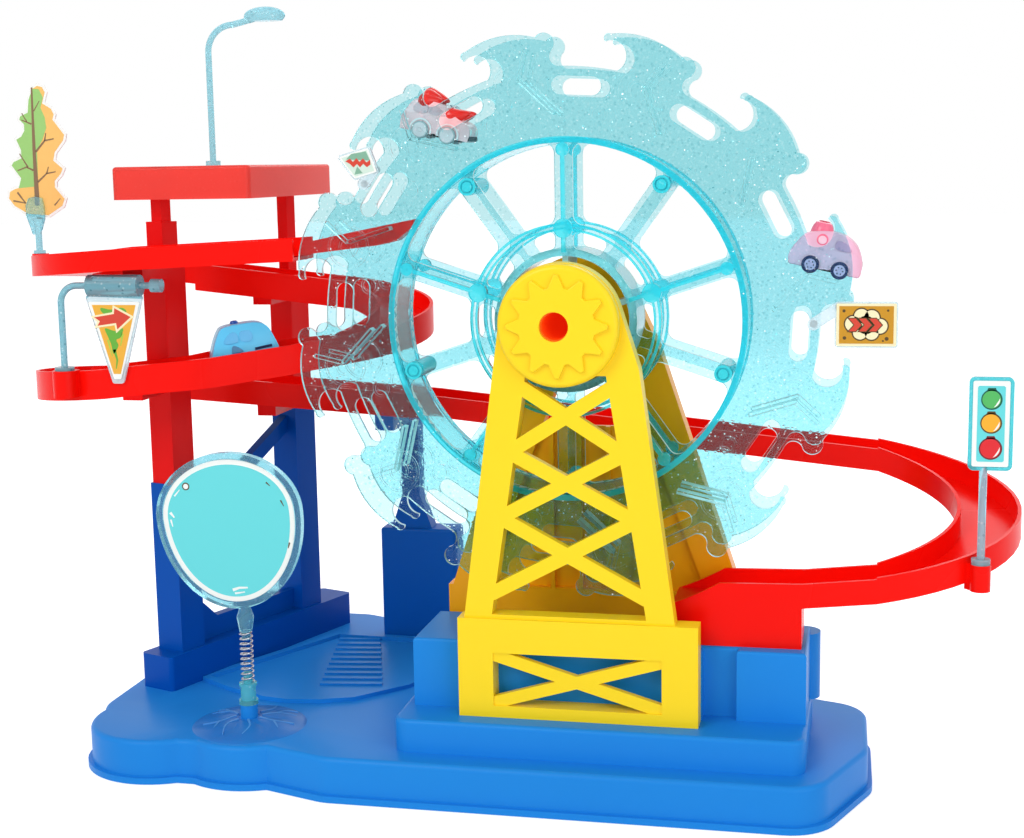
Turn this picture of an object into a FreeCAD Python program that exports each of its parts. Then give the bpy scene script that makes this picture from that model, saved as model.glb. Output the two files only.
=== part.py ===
import FreeCAD, Part
import os
from math import acos, atan2, ceil, cos, degrees, hypot, pi, radians, sin

# A wheel track playset: a hand-cranked wheel lifts small cars to a high lane, and they roll
# down a red channel back to its foot. Millimetres. The origin lies on the ground under the
# wheel, X runs to the right, Y to the back and Z up.

os.makedirs("parts", exist_ok=True)
V = FreeCAD.Vector

# Levels
base_top = 24.0
plinth_top = 42.0
pedestal_top = 80.0
tower_box_top = 96.0
hub_z = 252.0
roof_bottom = 317.0
roof_top = 336.0

# Base
wall = 2.4
base_lip = 2.5
lip_height = 3.5
rib_thick = 2.4

# Wheel
tip_radius = 150.5
tooth_height = 19.5
floor_radius = tip_radius - tooth_height
rim_outer = 95.0
rim_wall = 2.5
rim_inner = rim_outer - rim_wall
ring_outer = 51.0
ring_inner = 47.0
hub_outer = 38.0
hub_inner = 34.0
plate_inside = 13.5
plate_thick = 2.5
plate_outside = plate_inside + plate_thick
hook_count = 12
hook_step = 360.0 / hook_count
spoke_count = 10
spoke_width = 9.5
post_circle = 87.0
spacer_radius = 4.6
lifter_depth = 7.0
lifter_lip = 2.6
lifter_thick = 2.0


def tooth(share):
    """A radius on a hook: 0 at the notch floor, 1 at the tip."""
    return floor_radius + share * (tip_radius - floor_radius)


def web(share):
    """A radius on the plate's band: 0 at the rim wall, 1 at the notch floor."""
    return rim_outer + share * (floor_radius - rim_outer)


# Axle and crank
axle_radius = 9.0
axle_bore = 7.0
running_gap = 0.06
crank_length = 30.0
knob_radius = 6.5

# Towers
tower_x = 4.0
tower_front = -41.0
tower_back = -28.0
tower_disc = 32.0
disc_face = -46.0
gear_face = -48.5

# Track
lane_half = 17.0
lane_wall = 2.0
lane_floor = 2.0
lane_back = 120.0
top_bend = 60.0
bend_step = 7.5

# Left frame, which stands at a slant to the wheel
frame_turn = 70.0
pillar_left_at = (-253.0, 46.0)
pillar_right_at = (-214.0, 151.0)
pillar_side = 17.5
collar_side = 12.6
post_side = 8.0
riser_top = 45.0
left_leg_top = 148.0
right_leg_top = 180.0

# Cars
car_width = 20.8
car_wheel = 4.5
car_wheelbase = 15.0
car_wheel_outside = 12.2
car_wheel_wide = 3.8
glass_thick = 0.5
seat_gap = 0.3


def box(x0, x1, y0, y1, z0, z1):
    return Part.makeBox(x1 - x0, y1 - y0, z1 - z0, V(x0, y0, z0))


def rod(start, end, radius):
    a = V(*start)
    b = V(*end)
    return Part.makeCylinder(radius, (b - a).Length, a, b - a)


def tube(start, end, outer, inner):
    return rod(start, end, outer).cut(rod(start, end, inner))


def wire_of(points):
    corners = [V(*p) for p in points]
    return Part.makePolygon(corners + [corners[0]])


def prism_y(points, y0, y1):
    """A polygon drawn in X and Z, drawn out from y0 to y1."""
    face = Part.Face(wire_of([(x, y0, z) for x, z in points]))
    return face.extrude(V(0, y1 - y0, 0))


def prism_z(points, z0, z1, rounding=0.0):
    """A polygon drawn in X and Y, grown by a rounding, from z0 to z1."""
    face = Part.Face(wire_of([(x, y, z0) for x, y in points]))
    if rounding:
        face = face.makeOffset2D(rounding)
    return face.extrude(V(0, 0, z1 - z0))


def bar_y(start, end, width, y0, y1):
    """A straight bar between two points of the XZ plane, drawn out along Y."""
    dx = end[0] - start[0]
    dz = end[1] - start[1]
    length = hypot(dx, dz)
    nx = -dz / length * width / 2
    nz = dx / length * width / 2
    corners = [(start[0] + nx, start[1] + nz), (end[0] + nx, end[1] + nz),
               (end[0] - nx, end[1] - nz), (start[0] - nx, start[1] - nz)]
    return prism_y(corners, y0, y1)


def joined(shapes):
    solid = shapes[0]
    if len(shapes) > 1:
        solid = shapes[0].fuse(shapes[1:])
    return solid.removeSplitter()


def eased(shape, radius, keep):
    """Rounds the edges that the test keep names, or leaves them when they can't be rounded."""
    edges = [edge for edge in shape.Edges if keep(edge)]
    try:
        round_one = shape.makeFillet(radius, edges)
    except Exception:
        return shape
    return round_one if round_one.isValid() else shape


def level(edge, z):
    return abs(edge.BoundBox.ZMin - z) < 0.01 and abs(edge.BoundBox.ZMax - z) < 0.01


def upright(edge):
    return edge.BoundBox.ZLength > 1 and edge.BoundBox.XLength + edge.BoundBox.YLength < 0.01


def save(name, shape):
    solids = shape.Solids
    state = "valid" if shape.isValid() else "BROKEN"
    print(name, len(solids), "solid", state, round(shape.Volume / 1000, 2), "cm3")
    if len(solids) == 1:
        shape = solids[0]
    shape.exportStep("parts/" + name + ".step")


# Base

main_corners = [(-120, -45), (118, -45), (135, -2), (134, 47), (125, 50),
                (-188, 184), (-215, 184), (-256, 136), (-256, 0)]
main_rounding = 24.0
lobe_centres = [(-235, -20), (-180, -20)]
lobe_radius = 42.0


def plan(grow, z0, z1):
    """The base's outline, grown outward or inward, between two levels."""
    parts = [prism_z(main_corners, z0, z1, main_rounding + grow)]
    for x, y in lobe_centres:
        parts.append(rod((x, y, z0), (x, y, z1), lobe_radius + grow))
    reach = 36.0 + grow
    parts.append(box(-235, -130, -20 - reach, -15, z0, z1))
    return joined(parts)


mound_at = (-182.0, -25.0)
mound_radius = 32.0
mound_high = 4.6
mound_stub = 36.3
plinth_box = (-90.0, 128.0, -53.0, 53.0)
pedestal_box = (-84.0, 127.0, -28.0, 28.0)
recess_from = 73.0
recess_step = 91.0
pad_corners = [(-243, 47), (-216, 29), (-190, 16.5), (-174, 13.5), (-155, 16), (-136, 23.5),
               (-110, 52), (-104, 70), (-124, 150), (-189, 152)]
pad_ridges = 10


def riser(grow=0.0):
    """The low block under the left frame, along the frame's slant."""
    u = (cos(radians(frame_turn)), sin(radians(frame_turn)))
    n = (u[1], -u[0])
    start = (-249.0, 21.0)
    length = 174.0
    depth = 25.0
    corners = []
    for along, across in [(0, 0), (length, 0), (length, -depth), (0, -depth)]:
        corners.append((start[0] + u[0] * along + n[0] * across,
                        start[1] + u[1] * along + n[1] * across))
    return prism_z(corners, base_top, riser_top, grow)


def base_shell():
    outer = joined([plan(0.0, 0.0, base_top), plan(base_lip, 0.0, lip_height)])
    outer = eased(outer, 3.0, lambda edge: level(edge, base_top))
    x0, x1, y0, y1 = plinth_box
    plinth = prism_z([(x0 + 9, y0 + 9), (x1 - 9, y0 + 9), (x1 - 9, y1 - 9), (x0 + 9, y1 - 9)],
                     base_top - 4, plinth_top, 9.0)
    plinth = eased(plinth, 2.5, lambda edge: level(edge, plinth_top))
    a0, a1, b0, b1 = pedestal_box
    pedestal = box(a0, a1, b0, b1, plinth_top - 4, pedestal_top)
    notch = box(recess_from, a1 + 1, b0 - 1, b0 + 9, plinth_top, pedestal_top + 1)
    notch = notch.cut(box(recess_step, a1 + 2, b0 + 3, b0 + 10, plinth_top, pedestal_top + 2))
    pedestal = pedestal.cut(notch)
    pedestal = eased(pedestal, 3.0, upright)
    pedestal = eased(pedestal, 2.0, lambda edge: level(edge, pedestal_top))
    post = rod((a1 - 3.5, b1 + 2, plinth_top - 2), (a1 - 3.5, b1 + 2, pedestal_top - 3), 9.0)
    solid = joined([outer, plinth, pedestal, post])
    hollow = plan(-wall, -1.0, base_top - wall)
    cave = prism_z([(x0 + 9, y0 + 9), (x1 - 9, y0 + 9), (x1 - 9, y1 - 9), (x0 + 9, y1 - 9)],
                   base_top - 6, plinth_top - wall, 9.0 - wall)
    den = box(a0 + wall, a1 - wall, b0 + 9 + wall, b1 - wall, base_top, pedestal_top - wall)
    front_den = box(a0 + wall, recess_from - wall, b0 + wall, b1 - wall, base_top,
                    pedestal_top - wall)
    solid = solid.cut(joined([hollow, cave, den, front_den]))
    ribs = [box(-300, 200, -rib_thick / 2, rib_thick / 2, 0, base_top - wall / 2),
            box(-rib_thick / 2, rib_thick / 2, -90, 220, 0, base_top - wall / 2),
            box(-180 - rib_thick / 2, -180 + rib_thick / 2, -90, 220, 0, base_top - wall / 2)]
    ribs = joined(ribs).common(plan(-wall / 2, 0.0, base_top))
    rim = prism_z(pad_corners, base_top - 1, base_top + 2.4, 0.0)
    rim = rim.cut(prism_z(pad_corners, base_top - 2, base_top + 3, -5.0))
    ridges = []
    for k in range(pad_ridges):
        y = 50.0 + 10.2 * k
        left = -166.0 - 2.0 * k
        right = -128.0 - 3.2 * k
        ridge = box(left, right, y - 1.8, y + 1.8, base_top - 1, base_top + 1.2)
        ridge.rotate(V(left, y, 0), V(0, 0, 1), 8.0)
        ridges.append(ridge)
    x, y = mound_at
    cx0, cx1 = column_x
    cy0, cy1 = column_y
    taken = [riser(0.2), rod((x, y, base_top - 2), (x, y, base_top + 4), mound_radius + 0.2),
             box(cx0 - 0.2, cx1 + 0.2, cy0 - 0.2, cy1 + 0.2, base_top - 2, base_top + 4)]
    pad = joined([rim] + ridges).cut(joined(taken))
    dome_radius = (mound_radius ** 2 + mound_high ** 2) / (2 * mound_high)
    dome = Part.makeSphere(dome_radius, V(x, y, base_top + mound_high - dome_radius))
    dome = dome.common(rod((x, y, base_top - 0.5), (x, y, base_top + 10), mound_radius))
    stub = rod((x, y, base_top), (x, y, mound_stub), 4.9)
    return joined([solid, ribs, pad, dome, stub])


# Towers

def tangent_point(x, z, centre, side):
    """Where the line from a leg's shoulder touches the round head, on one side of it."""
    dx, dz = x - centre, z - hub_z
    apart = hypot(dx, dz)
    angle = atan2(dz, dx) + side * acos(tower_disc / apart)
    return centre + tower_disc * cos(angle), hub_z + tower_disc * sin(angle)


def tower_plate(centre, head_x, shoulder, foot, y0, y1):
    """The tapering plate of a tower: its legs run up to a shoulder, then on to a round head."""
    shoulder_half, shoulder_z = shoulder
    foot_half, foot_z = foot
    left, right = centre - shoulder_half, centre + shoulder_half
    corners = [(left, shoulder_z), tangent_point(left, shoulder_z, head_x, -1),
               tangent_point(right, shoulder_z, head_x, 1), (right, shoulder_z),
               (centre + foot_half, foot_z), (centre - foot_half, foot_z)]
    head = rod((head_x, y0, hub_z), (head_x, y1, hub_z), tower_disc)
    return joined([prism_y(corners, y0, y1), head])


def gear_relief(y0, y1):
    """The moulded cog on the front tower's head."""
    teeth = 12
    tip, root = tower_disc - 5.5, tower_disc - 12.0
    corners = []
    for k in range(teeth):
        for turn, radius in [(-12.0, root), (-2.4, tip), (2.4, tip), (12.0, root)]:
            angle = radians(360.0 / teeth * k + turn)
            corners.append((head_x + radius * sin(angle), hub_z + radius * cos(angle)))
    star = prism_y(corners, y0, y1)
    return eased(star, 0.8, lambda edge: abs(edge.BoundBox.YMax - y0) < 0.01)


leg_front = -38.5
leg_skin = 2.6
foot_x = 8.5
foot_wide = 128.0
foot_stile = 19.0
head_x = 1.3
shoulder_z = hub_z - 22.0


def leg_outer(z):
    """Half the front tower's width across its legs."""
    return 38.0 + 0.136 * (shoulder_z - z)


def tower_front_part():
    foot_z = tower_box_top - 2
    plate = tower_plate(tower_x, head_x, (leg_outer(shoulder_z), shoulder_z),
                        (leg_outer(foot_z), foot_z), leg_front, tower_back)
    opening_top = hub_z - 26.0
    opening_low = tower_box_top + 2.0
    top_half, low_half = 21.1, 41.2
    opening = prism_y([(tower_x - top_half, opening_top), (tower_x + top_half, opening_top),
                       (tower_x + low_half, opening_low), (tower_x - low_half, opening_low)],
                      leg_front - 1, tower_back + 1)
    head_keep = rod((head_x, leg_front, hub_z), (head_x, tower_back, hub_z), tower_disc)
    plate = plate.cut(opening.cut(head_keep))

    def inner_half(z):
        share = (opening_top - z) / (opening_top - opening_low)
        return top_half + (low_half - top_half) * share

    bars = []
    for z_high, z_low in [(hub_z - 32, hub_z - 66), (hub_z - 67, hub_z - 101),
                          (hub_z - 102, hub_z - 143)]:
        high = inner_half(z_high) + 2
        low = inner_half(z_low) + 2
        for side in (-1, 1):
            bars.append(bar_y((tower_x - side * high, z_high), (tower_x + side * low, z_low),
                              7.5, leg_front, leg_front + 5))
    x0, x1 = foot_x - foot_wide / 2, foot_x + foot_wide / 2
    frame = box(x0, x1, tower_front, tower_back, plinth_top, tower_box_top)
    w0, w1 = x0 + foot_stile, x1 - foot_stile
    z0, z1 = plinth_top + 6.5, tower_box_top - 18.5
    frame = frame.cut(box(w0, w1, tower_front - 1, tower_back + 1, z0, z1))
    frame = frame.cut(box(x0 + 12, x1 - 12, tower_front + 4, tower_back + 1, z1 + 3, 93))
    knot = joined([bar_y((w0 - 1, z0 + 1), (w1 + 1, z1 - 1), 6.5, tower_front + 1, tower_front + 5),
                   bar_y((w0 - 1, z1 - 1), (w1 + 1, z0 + 1), 6.5, tower_front + 1, tower_front + 5)])
    head = rod((head_x, disc_face, hub_z), (head_x, tower_back, hub_z), tower_disc - 0.4)
    head = eased(head, 3.0, lambda edge: abs(edge.BoundBox.YMax - disc_face) < 0.01)
    solid = joined([plate, frame, knot, head, gear_relief(gear_face, disc_face + 1)] + bars)
    hollows = []
    for side in (-1, 1):
        corners = []
        for z, inward in [(hub_z - 34, 0), (tower_box_top + 6, 0), (tower_box_top + 6, 1),
                          (hub_z - 34, 1)]:
            outer = leg_outer(z) - leg_skin * 1.3
            inner = inner_half(z) + leg_skin * 1.3
            corners.append((tower_x + side * (inner if inward else outer), z))
        hollows.append(prism_y(corners, leg_front + leg_skin, tower_back + 1))
    solid = solid.cut(joined(hollows))
    bore = rod((0, disc_face + 0.5, hub_z), (0, tower_back + 1, hub_z), axle_radius + running_gap)
    lip = rod((0, gear_face - 1, hub_z), (0, disc_face + 2, hub_z), axle_bore + 0.6)
    return solid.cut(joined([bore, lip]))


rear_front = 28.0
rear_back = 41.0
rear_x = 7.0
rear_shoulder = 36.6


def tower_rear_part():
    foot_half = 83.0
    plate = tower_plate(rear_x, 0.0, (rear_shoulder, hub_z - 18.0),
                        (foot_half, tower_box_top - 2), rear_front, rear_back)
    top_z, low_z = hub_z - 36.0, tower_box_top
    opening = prism_y([(rear_x - 19, top_z), (rear_x + 19, top_z),
                       (rear_x + 63, low_z), (rear_x - 63, low_z)],
                      rear_front - 1, rear_back + 1)
    plate = plate.cut(opening)
    panel_top = 189.0
    panel = prism_y([(rear_x - 30, panel_top), (rear_x + 30, panel_top),
                     (rear_x + 64, low_z - 1), (rear_x - 64, low_z - 1)],
                    rear_front + 4, rear_front + 6.5)
    ribs = []
    for x in (-24.0, -8.0, 8.0, 24.0):
        ribs.append(box(rear_x + x - 1.2, rear_x + x + 1.2, rear_front, rear_front + 5,
                        low_z - 1, panel_top))
    foot = box(rear_x - foot_half - 2, rear_x + foot_half + 2, rear_front, rear_back,
               plinth_top, tower_box_top)
    foot = foot.cut(box(rear_x - foot_half + 6, rear_x + foot_half - 6, rear_front + wall,
                        rear_back + 1, plinth_top - 1, tower_box_top - 3))
    head = rod((0, rear_front, hub_z), (0, 46, hub_z), tower_disc)
    head = eased(head, 1.6, lambda edge: abs(edge.BoundBox.YMin - 46) < 0.01)
    solid = joined([plate, panel, foot, head] + ribs)
    return solid.cut(rod((0, rear_front - 1, hub_z), (0, 47, hub_z), bush_outer))


bush_outer = 12.0


def rear_bush():
    sleeve = tube((0, rear_front, hub_z), (0, 46, hub_z), bush_outer, axle_radius + running_gap)
    flange = tube((0, 46, hub_z), (0, 48, hub_z), bush_outer + 3, axle_radius + running_gap)
    return joined([sleeve, flange])


# Wheel

def polar(angle, radius, y):
    """A point of the wheel: degrees clockwise from the top, seen from the front."""
    return V(radius * sin(radians(angle)), y, hub_z + radius * cos(radians(angle)))


def arc(points, turn, y):
    return Part.Arc(*[polar(angle + turn, radius, y) for angle, radius in points]).toShape()


def hook_edges(turn, y):
    """One notch floor and one hook, each curve an arc through three points."""
    start, floor = tooth(0.01), tooth(0.0)
    throat, beak, nose, brow = tooth(0.36), tooth(0.69), tooth(0.8), tooth(0.9)
    tip, back, neck, nape = tooth(1.0), tooth(0.795), tooth(0.646), tooth(0.46)
    curves = [
        [(-0.5, start), (6.5, floor), (12.6, floor)],
        [(12.6, floor), (13.9, throat), (8.9, beak)],
        [(8.9, beak), (8.6, nose), (9.9, brow)],
        [(9.9, brow), (16.0, tip), (24.5, back)],
        [(24.5, back), (28.3, neck), (28.0, nape)],
        [(28.0, nape), (27.2, tooth(0.256)), (29.5, start)],
    ]
    return [arc(points, turn, y) for points in curves]


def wheel_blank(y0, y1):
    edges = []
    for k in range(hook_count):
        edges += hook_edges(k * hook_step, y0)
    outline = Part.Wire(Part.__sortEdges__(edges))
    return Part.Face(outline).extrude(V(0, y1 - y0, 0))


def window(inner, outer, centre, y0, y1, rounding):
    """The gap between two neighbouring spokes, with round corners."""
    half = 180.0 / spoke_count
    spoke = spoke_width / 2
    corners = []
    for radius, side in [(inner, -1), (outer, -1), (outer, 1), (inner, 1)]:
        angle = side * (half - degrees(atan2(spoke, radius)))
        corners.append((centre + angle, radius))
    a, b, c, d = corners
    edges = [Part.makeLine(polar(*a, y0), polar(*b, y0)),
             Part.Arc(polar(*b, y0), polar(centre, outer, y0), polar(*c, y0)).toShape(),
             Part.makeLine(polar(*c, y0), polar(*d, y0)),
             Part.Arc(polar(*d, y0), polar(centre, inner, y0), polar(*a, y0)).toShape()]
    block = Part.Face(Part.Wire(edges)).extrude(V(0, y1 - y0, 0))
    return eased(block, rounding, lambda edge: edge.BoundBox.YLength > 1
                 and edge.BoundBox.XLength + edge.BoundBox.ZLength < 0.01)


def slot(angle, radius, length, width, y0, y1):
    """A round-ended slot lying along the rim."""
    half = (length - width) / 2
    middle = polar(angle, radius, y0)
    along = V(cos(radians(angle)), 0, -sin(radians(angle)))
    a = middle - along * half
    b = middle + along * half
    up = V(sin(radians(angle)), 0, cos(radians(angle))) * (width / 2)
    block = Part.Face(Part.makePolygon([a + up, b + up, b - up, a - up, a + up]))
    block = block.extrude(V(0, y1 - y0, 0))
    ends = [Part.makeCylinder(width / 2, y1 - y0, p, V(0, 1, 0)) for p in (a, b)]
    return joined([block] + ends)


lifter_line = [(27.2, web(0.344)), (19.3, web(0.875)), (21.9, tooth(0.528))]


slot_length = 26.0
slot_width = 9.5


def lifter(turn, side):
    """The bent strip inside a plate that cars ride on, deep on its inner leg only."""
    a, knee, b = [polar(angle + turn, radius, 0) for angle, radius in lifter_line]
    inside = side * plate_inside
    deep = side * (plate_inside - lifter_depth)
    lip = side * (plate_inside - lifter_lip)
    return [bar_y((a.x, a.z), (knee.x, knee.z), lifter_thick, *sorted((inside, deep))),
            bar_y((knee.x, knee.z), (b.x, b.z), lifter_thick, *sorted((inside, lip))),
            rod((knee.x, inside, knee.z), (knee.x, deep, knee.z), lifter_thick / 2)]


def wheel_plate(side):
    """A toothed plate of the wheel, on the front (side -1) or the back (side 1)."""
    inside = side * plate_inside
    outside = side * plate_outside
    y0, y1 = sorted((inside, outside))
    plate = wheel_blank(y0, y1)
    cuts = [rod((0, y0 - 1, hub_z), (0, y1 + 1, hub_z), hub_inner)]
    for k in range(spoke_count):
        middle = 360.0 / spoke_count * (k + 0.5)
        cuts.append(window(ring_outer, rim_inner, middle, y0 - 1, y1 + 1, 5.0))
        cuts.append(window(hub_outer, ring_inner, middle, y0 - 1, y1 + 1, 3.0))
    for k in range(hook_count):
        cuts.append(slot(3.4 + k * hook_step, web(0.73), slot_length, slot_width, y0 - 1, y1 + 1))
    plate = plate.cut(cuts)
    proud = side * (plate_outside + 2.5)
    extras = [tube((0, outside, hub_z), (0, proud, hub_z), rim_outer + 0.6, rim_inner)]
    extras.append(tube((0, outside, hub_z), (0, side * (plate_outside + 1.2), hub_z),
                       ring_outer, ring_outer - 1.4))
    extras.append(tube((0, outside, hub_z), (0, side * (plate_outside + 1.2), hub_z),
                       ring_inner + 1.2, ring_inner))
    for k in range(0, spoke_count, 2):
        angle = 360.0 / spoke_count * k
        a = polar(angle, hub_outer - 2, 0)
        b = polar(angle, rim_inner + 0.5, 0)
        extras.append(bar_y((a.x, a.z), (b.x, b.z), 2.2, *sorted((outside, side * 19.0))))
        for radius, boss in [(48.5, 5.0), (89.0, 3.4)]:
            p = polar(angle, radius, 0)
            extras.append(rod((p.x, outside, p.z), (p.x, side * 19.4, p.z), boss))
    for k in range(hook_count):
        extras += lifter(k * hook_step, side)
    for k in range(hook_count):
        for angle, radius, outer in [(18.5, web(0.805), 11.5), (18.5, web(0.805), 5.4),
                                     (10.0, web(0.36), 4.6)]:
            p = polar(angle + k * hook_step, radius, 0)
            extras.append(tube((p.x, outside, p.z), (p.x, side * (plate_outside + 0.7), p.z),
                               outer, outer - 1.2))
    return joined([plate] + extras)


def wheel_drum():
    """The plain rim wall between the plates."""
    return tube((0, -plate_inside, hub_z), (0, plate_inside, hub_z), rim_outer, rim_inner)


def wheel_hub():
    outer = tube((0, -plate_inside, hub_z), (0, plate_inside, hub_z), hub_outer, hub_inner)
    sleeve = tube((0, -plate_inside - 6, hub_z), (0, plate_inside + 6, hub_z), 13.0, axle_radius)
    webs = []
    for k in range(5):
        a = polar(72.0 * k, 11.0, 0)
        b = polar(72.0 * k, hub_inner + 1, 0)
        webs.append(bar_y((a.x, a.z), (b.x, b.z), 3.0, -plate_inside, plate_inside))
    return joined([outer, sleeve] + webs)


def spacer_places():
    return [polar(36.0 + 72.0 * k, post_circle, 0) for k in range(5)]


pin_radius = 4.6
pin_head = 2.0


def wheel_spacers():
    posts = []
    for p in spacer_places():
        posts.append(rod((p.x, -plate_inside, p.z), (p.x, plate_inside, p.z), spacer_radius))
    return Part.makeCompound(posts)


def wheel_pins():
    """The round heads of the pins that close the plates on the posts."""
    heads = []
    for p in spacer_places():
        head = rod((p.x, -plate_outside - pin_head, p.z), (p.x, -plate_outside, p.z), pin_radius)
        groove = tube((p.x, -plate_outside - pin_head - 1, p.z),
                      (p.x, -plate_outside - pin_head / 2, p.z), pin_radius - 1.2, pin_radius - 2.0)
        heads.append(head.cut(groove))
    return Part.makeCompound(heads)


axle_front_end = disc_face + 1.0
axle_rear_end = 60.0
crank_from = 50.0
crank_thick = 7.0


def axle():
    shaft = rod((0, axle_front_end, hub_z), (0, crank_from, hub_z), axle_radius)
    shaft = shaft.cut(rod((0, axle_front_end - 1, hub_z), (0, 20, hub_z), axle_bore))
    stub = box(-5.0, 5.0, crank_from - 1, axle_rear_end - 3.5, hub_z - 5.0, hub_z + 5.0)
    return joined([shaft, stub])


def crank_arm():
    y0, y1 = crank_from, crank_from + crank_thick
    low = hub_z - crank_length
    arm = joined([rod((0, y0, hub_z), (0, y1, hub_z), 11.0), rod((0, y0, low), (0, y1, low), 8.0),
                  prism_y([(-10.5, hub_z), (10.5, hub_z), (7.8, low), (-7.8, low)], y0, y1)])
    arm = arm.cut(box(-5.0, 5.0, y0 - 1, axle_rear_end - 3.5, hub_z - 5.0, hub_z + 5.0))
    arm = arm.cut(rod((0, axle_rear_end - 4, hub_z), (0, y1 + 1, hub_z), 2.0))
    pin = rod((0, y1, low), (0, y1 + 22, low), 2.4)
    cap = rod((0, y1 + 22, low), (0, y1 + 23.5, low), 4.0)
    return joined([arm, pin, cap])


def crank_screw():
    y1 = crank_from + crank_thick
    return joined([rod((0, y1, hub_z), (0, y1 + 2, hub_z), 4.2),
                   rod((0, axle_rear_end - 3.5, hub_z), (0, y1, hub_z), 2.0)])


def crank_knob():
    y0 = crank_from + crank_thick + 0.4
    low = hub_z - crank_length
    grip = rod((0, y0, low), (0, y0 + 21, low), knob_radius)
    grip = eased(grip, 1.6, lambda edge: edge.BoundBox.YLength < 0.01)
    return grip.cut(rod((0, y0 - 1, low), (0, y0 + 22, low), 2.4 + running_gap))


# Track

def course(start, heading, z_from, z_to, steps):
    """Stations x, y, z, heading along straights (length, 0) and bends (radius, degrees)."""
    x, y = start
    marks = [(x, y, heading, 0.0)]
    gone = 0.0
    for size, turn in steps:
        if turn == 0:
            x += size * cos(radians(heading))
            y += size * sin(radians(heading))
            gone += size
            marks.append((x, y, heading, gone))
            continue
        parts = ceil(abs(turn) / bend_step)
        side = 1 if turn > 0 else -1
        cx = x - side * size * sin(radians(heading))
        cy = y + side * size * cos(radians(heading))
        for k in range(1, parts + 1):
            now = heading + turn * k / parts
            marks.append((cx + side * size * sin(radians(now)),
                          cy - side * size * cos(radians(now)), now,
                          gone + size * radians(abs(turn)) * k / parts))
        x, y, heading, gone = marks[-1]
    return [(x, y, z_from + (z_to - z_from) * s / gone, h) for x, y, h, s in marks]


def swept(stations, section):
    """A ruled solid with an upright section (left, up) at each station."""
    wires = []
    for x, y, z, heading in stations:
        left = V(-sin(radians(heading)), cos(radians(heading)), 0)
        wires.append(wire_of([V(x, y, z) + left * a + V(0, 0, b) for a, b in section]))
    return Part.makeLoft(wires, True, True)


def channel(stations, height, skirt=0.0):
    """A lane: two side walls and a floor, with the walls run on below it by a skirt."""
    outer = lane_half
    inner = lane_half - lane_wall
    low = -lane_floor - skirt
    section = [(outer, low), (outer, height), (inner, height), (inner, 0), (-inner, 0),
               (-inner, height), (-outer, height), (-outer, low)]
    if skirt:
        section += [(-inner, low), (-inner, -lane_floor), (inner, -lane_floor), (inner, low)]
    return swept(stations, section)


def room(stations, height, skirt=0.0):
    """All that a lane takes up, to cut its carriers with."""
    low = -lane_floor - skirt
    return swept(stations, [(-lane_half, low), (lane_half, low),
                            (lane_half, height), (-lane_half, height)])


def lane_inside(stations):
    """The space above a lane's floor, to clear a boss on its wall with."""
    half = lane_half - lane_wall
    return swept(stations, [(-half, 0), (half, 0), (half, 30), (-half, 30)])


top_end = -258.3
top_lane = course((-149, 0), 180, 285.8, 280.7, [(-149 - top_end, 0)])
top_turn = course((top_end, 0), 180, 280.7, 265.0, [(top_bend, -180)])
second_lane = course((top_end, lane_back), 0, 265.0, 253.5, [(-155 - top_end, 0)])
right_turn = course((-155, lane_back), 0, 253.5, 225.0, [(38, -180)])
slant = 28.0
slant_bend = 45.0
slant_run = 43.6
middle_lane = course((-155, 44), 180, 225.0, 211.0,
                     [(slant_bend, slant), (slant_run, 0), (slant_bend, -slant), (35.0, 0)])
low_start = middle_lane[-1]
low_bend = (lane_back - low_start[1]) / 2
low_turn = course(low_start[:2], 180, 211.0, 194.0, [(low_bend, -180)])
lower_lane = course((low_start[0], lane_back), 0, 194.0, 183.5, [(-110 - low_start[0], 0)])
back_lane = course((-110, lane_back), 0, 183.5, 155.5, [(272, 0)])
loop = course((162, lane_back), 0, 155.5, 108.0, [(top_bend, -180)])
near_lane = course((162, 0), 180, 108.0, 104.0, [(38, 0)])
end_lane = course((124, 0), 180, 104.0, 102.6, [(68, 0)])


def tongue():
    """The wedge that reaches between the wheel's plates and takes each car off."""
    corners = [(-168, 284.2), (-149, 286.5), (-105, 291.6), (-94, 294.0), (-84, 302.0),
               (-84, 305.4), (-116, 299.4), (-149, 292.8), (-168, 287.0)]
    return prism_y(corners, -5.2, 5.2)


tree_at = (-337.4, 55.0)
tree_boss = (274.0, 285.0)
go_at = (-293.3, -5.5)
go_boss = (206.0, 221.5)
light_at = (214.0, -4.0)
light_boss = (112.0, 126.0)
lamp_at = (-240.0, 97.0)
stem_radius = 2.0


def with_boss(lane, stations, at, levels, radius):
    """A lane with a round socket on the outside of its wall for an accessory's stem."""
    x, y = at
    low, high = levels
    near = min(stations, key=lambda mark: hypot(mark[0] - x, mark[1] - y))
    away = hypot(near[0] - x, near[1] - y)
    ux, uy = (near[0] - x) / away, (near[1] - y) / away
    half, reach = radius * 0.7, away - lane_half + lane_wall
    web_plan = [(x - uy * half, y + ux * half), (x + uy * half, y - ux * half),
                (x + uy * half + ux * reach, y - ux * half + uy * reach),
                (x - uy * half + ux * reach, y + ux * half + uy * reach)]
    boss = joined([rod((x, y, low), (x, y, high), radius), prism_z(web_plan, low, high)])
    boss = boss.cut(lane_inside(stations))
    hole = rod((x, y, low + 2), (x, y, high + 20), stem_radius + running_gap)
    return joined([lane, boss]).cut(hole)


def track_top_lane():
    return joined([channel(top_lane, 10.0), tongue()])


def track_top_turn():
    return with_boss(channel(top_turn, 10.0), top_turn, tree_at, tree_boss, 4.6)


def track_low_turn():
    return with_boss(channel(low_turn, 11.0, 4.0), low_turn, go_at, go_boss, 7.0)


def track_loop():
    lane = joined([channel(loop, 12.0), channel(near_lane, 11.0)])
    return with_boss(lane, loop, light_at, light_boss, 5.2)


end_block_from = 56.0
wheel_room = 9.5


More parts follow.
